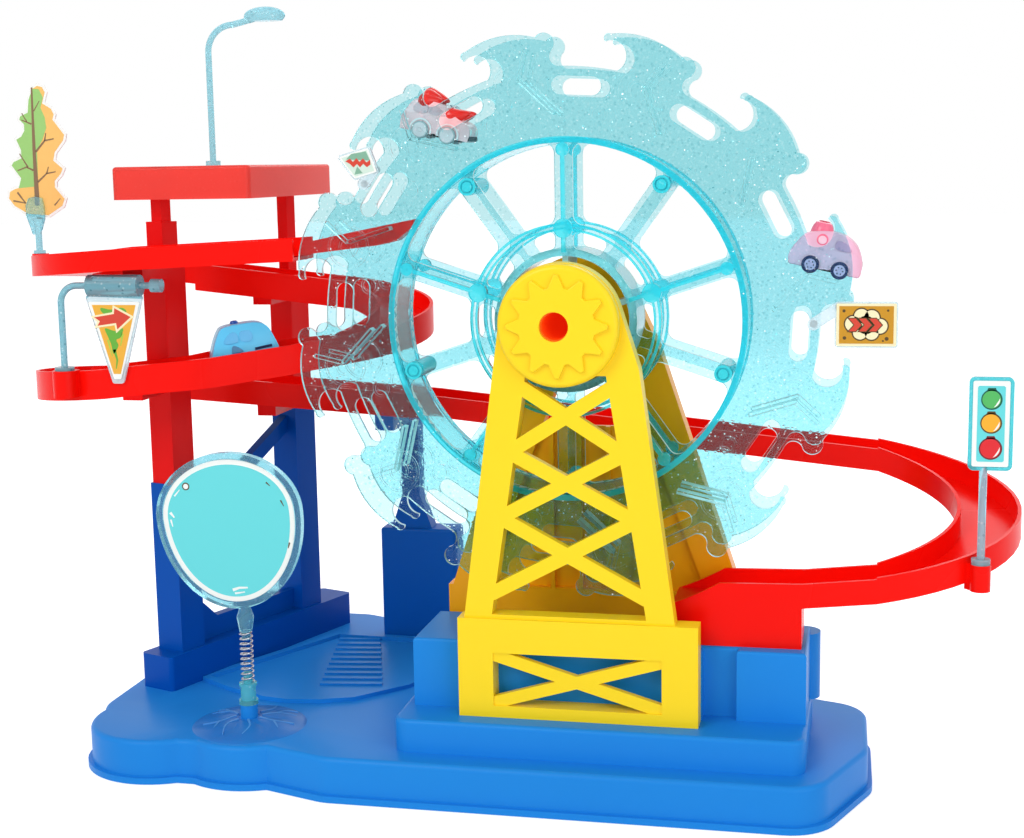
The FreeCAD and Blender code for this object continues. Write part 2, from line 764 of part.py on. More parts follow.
def track_end_block():
    lane = channel(end_lane, 11.0)
    x0, x1 = end_block_from, 124.0
    skirt = box(x0, x1, -lane_half, lane_half, pedestal_top, 103.0)
    skirt = skirt.cut(box(x0 + wall, x1 - wall, -lane_half + wall, lane_half - wall,
                          pedestal_top - 1, 96.0))
    slope_cut = swept(end_lane, [(-lane_half + lane_wall, 0), (lane_half - lane_wall, 0),
                                 (lane_half - lane_wall, 20), (-lane_half + lane_wall, 20)])
    swing = rod((0, -lane_half - 1, hub_z), (0, lane_half + 1, hub_z), tip_radius + wheel_room)
    return joined([skirt.cut(slope_cut), lane]).cut(swing)


# Left frame

def square(at, side, z0, z1):
    """An upright square bar that follows the frame's slant."""
    bar = box(-side / 2, side / 2, -side / 2, side / 2, z0, z1)
    bar.rotate(V(0, 0, 0), V(0, 0, 1), frame_turn)
    bar.translate(V(at[0], at[1], 0))
    return bar


def pillar(at, z0, thick_top, arms):
    """A red pillar, its thin roof post, and an arm under each lane beside it."""
    parts = [square(at, pillar_side, z0, thick_top),
             square(at, post_side, thick_top - 1, roof_top - wall)]
    for y0, z_low, z_high in arms:
        parts.append(box(at[0] - 6, at[0] + 6, y0, at[1], z_low, z_high))
    return joined(parts)


def pillar_left():
    arms = [(4.0, 271.0, 288.0), (low_start[1] - lane_half, 204.5, 218.0)]
    solid = joined([pillar(pillar_left_at, left_leg_top, 283.0, arms),
                    square(pillar_left_at, collar_side, 282.0, 304.0)])
    for lane, skirt in [(top_lane, 0.0), (top_turn, 0.0), (middle_lane, 4.0)]:
        solid = solid.cut(room(lane, 30, skirt))
    return solid


def pillar_right():
    arms = [(lane_back - lane_half, 250.0, 262.0), (lane_back - lane_half, right_leg_top, 194.0)]
    solid = pillar(pillar_right_at, right_leg_top, 262.0, arms)
    return solid.cut(room(second_lane, 30, 4.0)).cut(room(lower_lane, 30, 2.0))


def support_frame():
    legs = [square(pillar_left_at, pillar_side + 2, riser_top - 1, left_leg_top),
            square(pillar_right_at, pillar_side + 2, riser_top - 1, right_leg_top)]
    dx = pillar_right_at[0] - pillar_left_at[0]
    dy = pillar_right_at[1] - pillar_left_at[1]
    span = hypot(dx, dy)
    brace = prism_y([(0, 106.0), (span, 170.0), (span, 180.0), (0, 116.0)], -3.0, 3.0)
    rail = box(0, span, -3.0, 3.0, riser_top - 1, 58.0)
    gusset = prism_y([(0, 57.0), (30.0, 57.0), (0, 84.0)], -3.0, 3.0)
    gusset = gusset.cut(rod((14, -4, 63), (14, 4, 63), 2.4))
    truss = joined([brace, rail, gusset])
    truss.rotate(V(0, 0, 0), V(0, 0, 1), degrees(atan2(dy, dx)))
    truss.translate(V(pillar_left_at[0], pillar_left_at[1], 0))
    block = eased(riser(), 3.0, upright)
    return joined([block, truss] + legs)


roof_x = (-276.0, -191.0)
roof_y = (30.0, 176.0)


def roof():
    x0, x1 = roof_x
    y0, y1 = roof_y
    r = 3.6
    corners = [(x0 + r, y0 + r), (x1 - r, y0 + r), (x1 - r, y1 - r), (x0 + r, y1 - r)]
    shell = prism_z(corners, roof_bottom, roof_top, r)
    shell = eased(shell, 2.0, lambda edge: level(edge, roof_top))
    shell = shell.cut(prism_z(corners, roof_bottom - 1, roof_top - wall, r - wall))
    sockets = []
    for at in (pillar_left_at, pillar_right_at):
        sockets.append(square(at, post_side + 4.4, roof_top - 14, roof_top - wall + 0.5))
    solid = joined([shell] + sockets)
    for at in (pillar_left_at, pillar_right_at):
        solid = solid.cut(square(at, post_side + 0.2, roof_top - 15, roof_top - wall))
    x, y = lamp_at
    return solid.cut(rod((x, y, roof_top - wall - 1), (x, y, roof_top + 1), 2.05))


column_x = (-158.0, -106.0)
column_y = (155.0, 176.0)


def back_column():
    """The free-standing block and neck that carry the back lane."""
    x0, x1 = column_x
    y0, y1 = column_y
    block = box(x0, x1, y0, y1, base_top, 98.0)
    block = eased(block, 3.0, upright)
    block = eased(block, 2.0, lambda edge: level(edge, 98.0))
    middle = (x0 + x1) / 2 - 5
    neck = box(middle - 6, middle + 6, y0 + 3, y1 - 6, 97.0, 182.0)
    shoulder = prism_y([(middle - 14, 97), (middle + 14, 97), (middle + 6, 120), (middle - 6, 120)],
                       y0 + 3, y1 - 6)
    arm = box(middle - 6, middle + 6, 103.0, y1 - 6, 172.0, 192.0)
    solid = joined([block, neck, shoulder, arm])
    return solid.cut(room(lower_lane, 30, 2.0)).cut(box(x0 + wall, x1 - wall, y0 + wall, y1 - wall,
                                                   base_top - 1, 98.0 - wall))


# Clear accessories

def lamp():
    """Street lamp: a bent post with a flat head."""
    x, y = lamp_at
    foot = joined([rod((x, y, roof_top), (x, y, roof_top + 3), 4.5),
                   rod((x, y, roof_top - wall), (x, y, roof_top + 1), 2.0)])
    bend = 16.0
    post_top = 404.0
    head_z = post_top + bend
    post = rod((x, y, roof_top), (x, y, post_top), 1.9)
    path = Part.Wire([Part.Arc(V(x, y, post_top), V(x + bend * (1 - cos(pi / 4)), y,
                                                    post_top + bend * sin(pi / 4)),
                               V(x + bend, y, head_z)).toShape()])
    bow = path.makePipeShell([Part.Wire(Part.makeCircle(1.9, V(x, y, post_top), V(0, 0, 1)))],
                             True, False)
    arm = rod((x + bend, y, head_z), (x + 30, y, head_z + 3), 1.9)
    head = Part.makeSphere(6.5)
    stretch = FreeCAD.Matrix()
    stretch.scale(V(2.0, 0.95, 0.85))
    head = head.transformGeometry(stretch)
    head.translate(V(x + 37, y, head_z + 4.5))
    head = head.common(box(x + 20, x + 60, y - 10, y + 10, head_z + 1.5, head_z + 20))
    return joined([foot, post, bow, arm, head])


def plate_y(points, y0, y1, rounding):
    """A flat card in the XZ plane with round corners."""
    face = Part.Face(wire_of([(x, y0, z) for x, z in points]))
    if rounding:
        face = face.makeOffset2D(rounding)
    return face.extrude(V(0, y1 - y0, 0))


tree_rise = 23.0
tree_foot = tree_boss[1] + tree_rise
tree_outline = [(-6, 0), (-15, 5), (-19, 10), (-18, 15), (-14, 17), (-10, 18), (-10, 22),
                (-16, 30), (-14, 33), (-9, 35), (-9, 39), (-12, 46), (-8, 48), (-6, 51),
                (-6, 54), (-9, 57), (-8, 60), (-3, 62), (-2, 69), (1, 76), (5, 78), (9, 77),
                (11, 73), (9, 67), (14, 64), (16, 60), (15, 57), (22, 48), (21, 44), (15, 37),
                (14, 33), (20, 28), (18, 24), (14, 20), (14, 17), (20, 10), (18, 5), (8, -1)]
tree_paddle = [(-6, 0), (-6, 6), (-4, 10), (0, 11), (4, 10), (5, 5), (5, -2), (3, -8),
               (1.5, -11), (-2.5, -11), (-4, -6)]


def tree_card():
    """A leafy crown with jagged sides, printed on a flat card."""
    x, y = tree_at
    points = [(x + a, tree_foot + z) for a, z in tree_outline]
    return plate_y(points, y - 0.6, y + 0.6, 0.4)


def tree_stem():
    x, y = tree_at
    low = tree_boss[0] + 3
    high = tree_boss[1]
    post = rod((x, y, low), (x, y, tree_foot - 3), stem_radius)
    clasp = plate_y([(x + a, tree_foot + z) for a, z in tree_paddle], y - 2.2, y - 0.6, 0.4)
    stop = box(x - 3, x + 3, y - 2.2, y + 2.2, tree_foot - 5, tree_foot - 1.5)
    return joined([post, clasp, stop, rod((x, y, high), (x, y, high + 2), 3.6)])


go_arm_z = 270.0


def go_arm():
    x, y = go_at
    z0 = go_boss[1]
    z_arm = go_arm_z
    bend = 10.0
    foot = joined([rod((x, y, z0), (x, y, z0 + 2), 5.5),
                   rod((x, y, go_boss[0] + 3), (x, y, z0 + 1), stem_radius)])
    post = rod((x, y, z0), (x, y, z_arm - bend), 1.9)
    path = Part.Wire([Part.Arc(V(x, y, z_arm - bend), V(x + bend * (1 - cos(pi / 4)), y,
                                                        z_arm - bend * (1 - sin(pi / 4))),
                               V(x + bend, y, z_arm)).toShape()])
    bow = path.makePipeShell([Part.Wire(Part.makeCircle(1.9, V(x, y, z_arm - bend), V(0, 0, 1)))],
                             True, False)
    pin = rod((x + bend, y, z_arm), (x + 60, y, z_arm), 1.9)
    knob = rod((x + 56, y, z_arm), (x + 62, y, z_arm), 3.8)
    return joined([foot, post, bow, pin, knob])


def go_flag_frame():
    x, y = go_at
    z_arm = go_arm_z
    sleeve = tube((x + 18, y, z_arm), (x + 49, y, z_arm), 6.2, 1.9 + running_gap)
    panel = plate_y([(x + 17.5, z_arm - 7), (x + 48.5, z_arm - 7), (x + 35, z_arm - 54),
                     (x + 31, z_arm - 54)], y - 0.8, y + 0.8, 1.6)
    panel = panel.cut(rod((x + 19, y, z_arm), (x + 50, y, z_arm), 3.5))
    return joined([sleeve, panel])


def go_flag_card():
    x, y = go_at
    z_arm = go_arm_z
    return plate_y([(x + 18.5, z_arm - 10), (x + 47.5, z_arm - 10), (x + 34.4, z_arm - 52),
                    (x + 31.6, z_arm - 52)], y - 1.3, y - 0.8, 1.0)


spring_low = 49.5
spring_high = 78.5
spring_turns = 10
spring_radius = 3.3
spring_wire = 0.55
mirror_lean = 6.0
lean_z = 84.0


def spring_foot():
    """The clear holder that sits on the mound's stub and carries the spring."""
    x, y = mound_at
    seat = spring_low - 1
    barrel = rod((x, y, mound_stub), (x, y, seat), 4.3)
    flanges = [rod((x, y, mound_stub), (x, y, mound_stub + 2.4), 5.4),
               rod((x, y, seat - 1.6), (x, y, seat), 5.0)]
    peg = rod((x, y, seat - 1), (x, y, spring_low + 5), spring_radius - spring_wire - 0.35)
    return joined([barrel, peg] + flanges)


def spring():
    """A coil of biarcs, its least gap to itself measured on points along it."""
    x, y = mound_at
    low = spring_low - 1 + spring_wire + 0.02
    high = spring_high - spring_wire - 0.02
    pitch = (high - low) / spring_turns
    quarter = []
    for k in range(4 * spring_turns + 1):
        angle = pi / 2 * k
        quarter.append(V(x + spring_radius * cos(angle), y + spring_radius * sin(angle),
                         low + pitch * k / 4))
    edges = []
    for k in range(4 * spring_turns):
        angle = pi / 2 * (k + 0.5)
        middle = V(x + spring_radius * cos(angle), y + spring_radius * sin(angle),
                   low + pitch * (k + 0.5) / 4)
        edges.append(Part.Arc(quarter[k], middle, quarter[k + 1]).toShape())
    lead = V(0, 2 * spring_wire, 0)
    first = Part.makeLine(quarter[0] - lead, quarter[0])
    last = Part.makeLine(quarter[-1], quarter[-1] + lead)
    path = Part.Wire([first] + edges + [last])
    start = Part.Wire(Part.makeCircle(spring_wire, quarter[0] - lead, V(0, 1, 0)))
    coil = path.makePipeShell([start], True, False)
    points = path.discretize(24 * spring_turns)
    least = 1e9
    apart = 14
    for i, p in enumerate(points):
        for q in points[i + apart:]:
            least = min(least, (p - q).Length)
    print("spring least gap to itself", round(least - 2 * spring_wire, 2), "mm")
    return coil


def mirror_face(shrink):
    """The egg-shaped sign, wide at the top, drawn inward by shrink."""
    x, _ = mound_at
    cx, top, low = x - 0.5, 180.0 - shrink, 92.0 + shrink
    half = 42.5 - shrink
    shoulder = 145.0
    y = mound_at[1]
    middle = V(cx, y, shoulder)
    crown = Part.Ellipse(middle + V(half, 0, 0), middle + V(0, 0, top - shoulder), middle)
    chin = Part.Ellipse(middle - V(0, 0, shoulder - low), middle + V(half, 0, 0), middle)
    halves = [Part.ArcOfEllipse(crown, 0, pi), Part.ArcOfEllipse(chin, -pi / 2, pi / 2)]
    return Part.Face(Part.Wire([half_edge.toShape() for half_edge in halves]))


def leaned(shape):
    x, y = mound_at
    shape.rotate(V(x, y, lean_z), V(0, 1, 0), -mirror_lean)
    return shape


def mirror_frame():
    x, y = mound_at
    slab = mirror_face(0.0).extrude(V(0, 5.0, 0))
    slab.translate(V(0, -2.5, 0))
    tray = mirror_face(3.5).extrude(V(0, 2.0, 0))
    tray.translate(V(0, -3.0, 0))
    panel = leaned(slab.cut(tray))
    neck = joined([Part.makeCone(3.6, 4.9, 8.0, V(x, y, spring_high)),
                   Part.makeCone(4.9, 2.2, 8.0, V(x, y, spring_high + 8))])
    peg = rod((x, y, spring_high - 5), (x, y, spring_high + 1), spring_radius - spring_wire - 0.35)
    return joined([panel, neck, peg])


def mirror_panel():
    card = mirror_face(3.8).extrude(V(0, 0.6, 0))
    card.translate(V(0, -1.6, 0))
    return leaned(card)


light_wide = 16.0
light_low = 178.5
light_tall = 42.0


def light_corners():
    """The corners of the traffic light's card, a little to the right of its post."""
    left = light_at[0] + 3.0 - light_wide / 2
    high = light_low + light_tall
    return [(left, light_low), (left + light_wide, light_low), (left + light_wide, high),
            (left, high)]


def traffic_frame():
    x, y = light_at
    post = rod((x, y, light_boss[0] + 3), (x, y, light_low - 1.5), stem_radius)
    foot = rod((x, y, light_boss[1]), (x, y, light_boss[1] + 3), 4.8)
    panel = plate_y(light_corners(), y - 0.9, y + 0.9, 3.0)
    rim = panel.cut(plate_y(light_corners(), y - 2, y + 2, 1.4))
    rim.translate(V(0, -0.9, 0))
    return joined([post, foot, panel, rim])


def traffic_panel():
    y = light_at[1]
    return plate_y(light_corners(), y - 1.5, y - 0.9, 1.1)


sign_front = -24.0
sign_back = -21.5
end_at = polar(-52.29, tooth(0.282), 0)
hazard_at = polar(90.19, tip_radius + 4.0, 0)
peg_radius = web(0.93)


def sign_pegs(places):
    """Two pegs that hold a sign off the wheel, and the flat tab that joins them."""
    a, b = places
    pegs = [rod((p.x, sign_back - 0.5, p.z), (p.x, -plate_outside, p.z), 2.0) for p in places]
    tab = bar_y((a.x, a.z), (b.x, b.z), 6.0, sign_front, sign_back)
    ends = [rod((p.x, sign_front, p.z), (p.x, sign_back, p.z), 3.0) for p in places]
    return pegs + ends + [tab]


def end_frame():
    x, z = end_at.x, end_at.z
    plate = plate_y([(x - 9.5, z + 3), (x - 2, z - 7), (x + 9, z - 4), (x + 5, z + 7)],
                    sign_front, sign_back, 1.6)
    return joined([plate] + sign_pegs([polar(-51.5, peg_radius, 0), polar(-55.5, peg_radius, 0)]))


def end_card():
    x, z = end_at.x, end_at.z
    return plate_y([(x - 9.5, z + 3), (x - 2, z - 7), (x + 9, z - 4), (x + 5, z + 7)],
                   sign_front - 0.5, sign_front, 0.8)


def hazard_frame():
    x, z = hazard_at.x, hazard_at.z
    plate = plate_y([(x - 14, z - 10), (x + 14, z - 10), (x + 14, z + 10), (x - 14, z + 10)],
                    sign_front, sign_back, 1.5)
    return joined([plate] + sign_pegs([polar(86.75, tooth(0.523), 0), polar(90.2, peg_radius, 0)]))


def hazard_card():
    x, z = hazard_at.x, hazard_at.z
    return plate_y([(x - 14, z - 10), (x + 14, z - 10), (x + 14, z + 10), (x - 14, z + 10)],
                   sign_front - 0.5, sign_front, 0.7)


# Cars, drawn level at the origin with their wheels on Z = 0 and the nose to +X

def car_profile(kind):
    if kind == "wagon":
        return [(-19, 5), (-18, 13), (-11, 20.5), (4, 20.5), (11, 16), (18, 12.5), (19, 5)]
    if kind == "tank":
        return [(-19, 4.5), (-17, 14), (-12, 19), (6, 19), (12, 15), (19, 10), (19, 4.5)]
    return [(-18.5, 5), (-18.5, 13), (-13, 20), (5, 20), (12, 16.5), (18.5, 13), (18.5, 5)]


def car_body(kind):
    half = car_width / 2
    block = prism_y(car_profile(kind), -half, half)
    block = eased(block, 2.6, lambda edge: edge.BoundBox.YLength > 1)
    block = eased(block, 1.6, lambda edge: edge.BoundBox.YLength < 0.01
                  and edge.BoundBox.ZMax > 6 and edge.Length > 2)
    pocket = box(-14, 14, -half + 1.8, half - 1.8, 3, 9.0)
    block = block.cut(pocket)
    for x in (-car_wheelbase / 2, car_wheelbase / 2):
        block = block.cut(rod((x, -half - 1, car_wheel), (x, half + 1, car_wheel), car_wheel + 0.9))
    if kind == "wagon":
        extra = [rod((-2, 0, 20), (-2, 0, 23.5), 2.6)]
    elif kind == "tank":
        extra = [rod((3, 0, 18), (3, 0, 24), 4.0), box(-16, -6, -7, 7, 18.5, 20.5)]
    else:
        extra = [rod((-4, 0, 19), (-4, 0, 24), 4.2)]
    return joined([block] + extra)


def car_chassis():
    plate = box(-13.8, 13.8, -4.5, 4.5, 2.2, 9.0)
    for x in (-car_wheelbase / 2, car_wheelbase / 2):
        plate = plate.cut(rod((x, -5, car_wheel), (x, 5, car_wheel), 0.9 + running_gap))
    return plate


def car_axle(x):
    outer = car_wheel_outside
    inner = outer - car_wheel_wide
    pin = rod((x, -inner, car_wheel), (x, inner, car_wheel), 0.9)
    wheels = []
    for side in (-1, 1):
        a, b = sorted((side * inner, side * outer))
        tyre = rod((x, a, car_wheel), (x, b, car_wheel), car_wheel)
        tyre = eased(tyre, 0.6, lambda edge: edge.BoundBox.YLength < 0.01)
        face = side * outer
        dish = rod((x, face - 0.7 if side > 0 else face - 0.1, car_wheel),
                   (x, face + 0.1 if side > 0 else face + 0.7, car_wheel), 2.4)
        wheels.append(tyre.cut(dish))
    return joined([pin] + wheels)


def car_glass(kind):
    """The windscreen, a thin sheet on the slope between the roof and the nose."""
    high, low = car_profile(kind)[3:5]
    dx, dz = low[0] - high[0], low[1] - high[1]
    length = hypot(dx, dz)
    nx, nz = -dz / length * glass_thick, dx / length * glass_thick
    a = (high[0] + dx * 0.14, high[1] + dz * 0.14)
    b = (high[0] + dx * 0.86, high[1] + dz * 0.86)
    half = car_width / 2 - 3.2
    return prism_y([a, b, (b[0] + nx, b[1] + nz), (a[0] + nx, a[1] + nz)], -half, half)


def placed(shape, point, tilt, heading=0.0):
    """A car moved from the origin: tilted nose down, turned, then set at a point."""
    copy = shape.copy()
    copy.rotate(V(0, 0, 0), V(0, 1, 0), tilt)
    copy.rotate(V(0, 0, 0), V(0, 0, 1), heading)
    copy.translate(V(*point))
    return copy


def on_lifter(turn, leg, share):
    """A seat on a lifter of the wheel: the point and the tilt of one of its two legs."""
    a, b = [polar(angle + turn, radius, 0) for angle, radius in lifter_line[leg:leg + 2]]
    if a.x > b.x:
        a, b = b, a
    along = (b - a).normalize()
    up = V(-along.z, 0, along.x)
    p = a + (b - a) * share + up * (1.0 + seat_gap)
    return (p.x, p.y, p.z), degrees(atan2(-along.z, along.x))


def middle_seat():
    """The blue car's seat, half way along the slanting straight of the middle lane."""
    bends = ceil(slant / bend_step)
    a = middle_lane[bends]
    b = middle_lane[bends + 1]
    x, y, z = [(p + q) / 2 for p, q in zip(a[:3], b[:3])]
    fall = degrees(atan2(a[2] - b[2], slant_run))
    lift = seat_gap / cos(radians(fall))
    return (x, y, z + lift), fall, a[3]


def save_car(name, kind, seat):
    pieces = [("body", car_body(kind)), ("chassis", car_chassis()),
              ("axle_front", car_axle(car_wheelbase / 2)),
              ("axle_rear", car_axle(-car_wheelbase / 2)), ("glass", car_glass(kind))]
    for part, shape in pieces:
        save(name + "_" + part, placed(shape, *seat))


def main():
    save("base_shell", base_shell())
    save("tower_front", tower_front_part())
    save("tower_rear", tower_rear_part())
    save("rear_bush", rear_bush())
    save("wheel_plate_front", wheel_plate(-1))
    save("wheel_plate_rear", wheel_plate(1))
    save("wheel_drum", wheel_drum())
    save("wheel_hub", wheel_hub())
    save("wheel_spacers", wheel_spacers())
    save("wheel_pins", wheel_pins())
    save("axle", axle())
    save("crank_arm", crank_arm())
    save("crank_screw", crank_screw())
    save("crank_knob", crank_knob())
    save("track_top_lane", track_top_lane())
    save("track_top_turn", track_top_turn())
    save("track_second_lane", channel(second_lane, 10.5, 4.0))
    save("track_right_turn", channel(right_turn, 10.5, 4.0))
    save("track_middle_lane", channel(middle_lane, 11.0, 4.0))
    save("track_low_turn", track_low_turn())
    save("track_lower_lane", channel(lower_lane, 11.0, 2.0))
    save("track_back_lane", channel(back_lane, 11.0))
    save("track_loop", track_loop())
    save("track_end_block", track_end_block())
    save("support_frame", support_frame())
    save("pillar_left", pillar_left())
    save("pillar_right", pillar_right())
    save("roof", roof())
    save("back_column", back_column())
    save("street_lamp", lamp())
    save("tree_stem", tree_stem())
    save("tree_card", tree_card())
    save("go_arm", go_arm())
    save("go_flag_frame", go_flag_frame())
    save("go_flag_card", go_flag_card())
    save("spring_foot", spring_foot())
    save("spring", spring())
    save("mirror_frame", mirror_frame())
    save("mirror_panel", mirror_panel())
    save("traffic_frame", traffic_frame())
    save("traffic_panel", traffic_panel())
    save("end_frame", end_frame())
    save("end_card", end_card())
    save("hazard_frame", hazard_frame())
    save("hazard_card", hazard_card())
    save_car("grey_car", "wagon", on_lifter(-60.0, 0, 0.45))
    save_car("pink_car", "tank", on_lifter(60.0, 1, 0.5))
    save_car("blue_car", "van", middle_seat())


main()
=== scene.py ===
# %% [markdown]
# # A toy ferris wheel that feeds a car track
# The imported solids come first. They are the fixed frame of the toy: every lane, plate, tower and
# stem is already in its place, in metres. This lesson gives them their plastics and builds what a
# mould or a printer adds on top: small cars, printed cards, a wire spring.

# %% Load the frame
import bpy
import bmesh
import random
from math import cos, pi, radians, sin, sqrt
from mathutils import Matrix, Vector
from mathutils.bvhtree import BVHTree


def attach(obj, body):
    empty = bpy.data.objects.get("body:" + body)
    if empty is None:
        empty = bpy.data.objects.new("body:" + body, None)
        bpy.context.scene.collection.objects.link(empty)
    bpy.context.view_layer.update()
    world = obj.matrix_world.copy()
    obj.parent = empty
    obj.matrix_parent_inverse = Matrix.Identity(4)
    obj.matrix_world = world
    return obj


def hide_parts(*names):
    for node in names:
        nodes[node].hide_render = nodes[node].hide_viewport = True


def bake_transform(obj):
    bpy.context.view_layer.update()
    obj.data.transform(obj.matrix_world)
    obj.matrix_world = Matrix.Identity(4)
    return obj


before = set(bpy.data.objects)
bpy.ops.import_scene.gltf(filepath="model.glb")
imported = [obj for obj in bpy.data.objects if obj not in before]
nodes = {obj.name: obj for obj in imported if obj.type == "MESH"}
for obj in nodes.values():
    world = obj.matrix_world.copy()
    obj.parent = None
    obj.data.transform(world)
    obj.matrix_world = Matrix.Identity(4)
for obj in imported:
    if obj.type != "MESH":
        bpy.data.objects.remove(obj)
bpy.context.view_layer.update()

# %% [markdown]
# ## The camera
# The picture was taken from a little above the hub, from the right, with a longish lens. Yaw,
# pitch and roll turn into three axes: to the right, up, and against the line of sight.

# %% Camera
shot_yaw, shot_pitch, shot_roll = radians(12.559), radians(8.836), radians(-0.970)
sight = Vector((-sin(shot_yaw) * cos(shot_pitch), cos(shot_yaw) * cos(shot_pitch), -sin(shot_pitch)))
level_right = Vector((cos(shot_yaw), sin(shot_yaw), 0))
level_up = level_right.cross(sight)
right = cos(shot_roll) * level_right + sin(shot_roll) * level_up
up = -sin(shot_roll) * level_right + cos(shot_roll) * level_up

lens = bpy.data.cameras.new("camera")
lens.sensor_width = 36.0
lens.lens = 57.32
lens.clip_end = 50.0
camera = bpy.data.objects.new("camera", lens)
bpy.context.scene.collection.objects.link(camera)
camera.matrix_world = Matrix.Translation((0.15745, -0.85464, 0.33308)) @ Matrix(
    (right, up, -sight)).transposed().to_4x4()
bpy.context.scene.camera = camera
bpy.context.scene.view_settings.view_transform = "Standard"
print("camera height", round(camera.location.z, 3))

# %% [markdown]
# ## Smooth where the real wall is smooth
# The solids arrive as flat facets. On the toy a bend is one smooth wall, and a corner stays crisp.
# A small geometry nodes tree welds the facets and shades smooth over every edge that bends by less
# than 33 degrees. As a modifier it leaves the solids themselves as they are.


# %% The smooth wall modifier
def geometry_tree(name):
    """A geometry nodes tree with one geometry in and one out."""
    tree = bpy.data.node_groups.new(name, "GeometryNodeTree")
    tree.is_modifier = True
    for way in ("INPUT", "OUTPUT"):
        tree.interface.new_socket(name="Geometry", in_out=way, socket_type="NodeSocketGeometry")
    return tree, tree.nodes.new("NodeGroupInput"), tree.nodes.new("NodeGroupOutput")


walls, walls_in, walls_out = geometry_tree("smooth_walls")
plain = walls.nodes.new("GeometryNodeRemoveAttribute")
plain.inputs["Name"].default_value = "custom_normal"
weld = walls.nodes.new("GeometryNodeMergeByDistance")
weld.inputs["Distance"].default_value = 0.000001
bend = walls.nodes.new("GeometryNodeInputMeshEdgeAngle")
crisp = walls.nodes.new("FunctionNodeCompare")
crisp.data_type = "FLOAT"
crisp.operation = "GREATER_THAN"
crisp.inputs["B"].default_value = radians(33)
soft_faces = walls.nodes.new("GeometryNodeSetShadeSmooth")
soft_faces.domain = "FACE"
sharp_edges = walls.nodes.new("GeometryNodeSetShadeSmooth")
sharp_edges.domain = "EDGE"
sharp_edges.inputs["Shade Smooth"].default_value = False
walls.links.new(walls_in.outputs[0], plain.inputs["Geometry"])
walls.links.new(plain.outputs[0], weld.inputs["Geometry"])
walls.links.new(weld.outputs[0], soft_faces.inputs["Geometry"])
walls.links.new(soft_faces.outputs[0], sharp_edges.inputs["Geometry"])
walls.links.new(bend.outputs["Unsigned Angle"], crisp.inputs["A"])
walls.links.new(crisp.outputs["Result"], sharp_edges.inputs["Selection"])
walls.links.new(sharp_edges.outputs[0], walls_out.inputs[0])


def smooth_walls(made):
    made.modifiers.new("smooth_walls", "NODES").node_group = walls


for node in nodes.values():
    smooth_walls(node)
print("smoothed solids:", len(nodes))

# %% [markdown]
# ## A white sky
# The toy stands in a white studio. An even sky lights it softly. A second, pure white sky is shown
# only to the camera, to shiny skins and to rays that pass through clear plastic, so the background
# is white without any more light on the toy.

# %% Sky
world = bpy.data.worlds.new("studio")
bpy.context.scene.world = world
world.use_nodes = True
sky = world.node_tree.nodes
sky.clear()
paths = sky.new("ShaderNodeLightPath")
seen = sky.new("ShaderNodeBackground")
seen.inputs["Strength"].default_value = 1.0
soft = sky.new("ShaderNodeBackground")
soft.inputs["Color"].default_value = (0.93, 0.96, 1.0, 1)
soft.inputs["Strength"].default_value = 0.62
through = sky.new("ShaderNodeMath")
through.operation = "MAXIMUM"
either = sky.new("ShaderNodeMath")
either.operation = "MAXIMUM"
choose = sky.new("ShaderNodeMixShader")
out = sky.new("ShaderNodeOutputWorld")
link = world.node_tree.links.new
seen.inputs["Color"].default_value = (1, 1, 1, 1)
link(paths.outputs["Is Camera Ray"], through.inputs[0])
link(paths.outputs["Is Transmission Ray"], through.inputs[1])
link(through.outputs[0], either.inputs[0])
link(paths.outputs["Is Glossy Ray"], either.inputs[1])
link(either.outputs[0], choose.inputs["Fac"])
link(soft.outputs[0], choose.inputs[1])
link(seen.outputs[0], choose.inputs[2])
link(choose.outputs[0], out.inputs["Surface"])
print("sky strength", soft.inputs["Strength"].default_value)

# %% [markdown]
# ## Lamps and floor
# One large key lamp stands to the upper left, a fill to the lower right and a weaker one behind.
# Large lamps give the soft shadows of a photo tent. The floor is a wide sheet that takes them.


# %% Lamps and floor
def lamp(name, place, aim, size, watts, colour=(1, 1, 1)):
    """A square area lamp that looks at a point."""
    data = bpy.data.lights.new(name, "AREA")
    data.shape = "SQUARE"
    data.size = size
    data.energy = watts
    data.color = colour
    holder = bpy.data.objects.new(name, data)
    bpy.context.scene.collection.objects.link(holder)
    holder.location = place
    holder.rotation_euler = (Vector(aim) - Vector(place)).to_track_quat("-Z", "Y").to_euler()
    return holder


lamp("key_lamp", (-0.8, -1.55, 1.4), (-0.02, 0.05, 0.2), 1.0, 15.5)
lamp("fill_lamp", (1.2, -1.2, 0.6), (0.0, 0.05, 0.2), 1.2, 7.5)
lamp("rear_lamp", (0.3, 1.5, 1.4), (0.0, 0.05, 0.25), 1.2, 9)

floor_mesh = bpy.data.meshes.new("floor")
floor_mesh.from_pydata([(-9, -9, -0.0004), (9, -9, -0.0004), (9, 9, -0.0004), (-9, 9, -0.0004)],
                       [], [(0, 1, 2, 3)])
floor = bpy.data.objects.new("floor", floor_mesh)
bpy.context.scene.collection.objects.link(floor)
print("lamps", [light.name for light in bpy.data.lights])

# %% [markdown]
# ## Colours, and the floor's paper
# Colours are written the way a picture shows them, from 0 to 255, and turned into the linear
# values that shaders count in. The floor is white paper that glows a little for the camera alone,
# so that it meets the sky without an edge and still keeps the toy's shadow.


# %% Colour helper and the floor's finish
def picture(r, g, b, alpha=1.0):
    """A colour as a picture shows it, as linear light."""
    values = []
    for c in (r, g, b):
        c = c / 255
        values.append(c / 12.92 if c <= 0.04045 else ((c + 0.055) / 1.055) ** 2.4)
    return (*values, alpha)


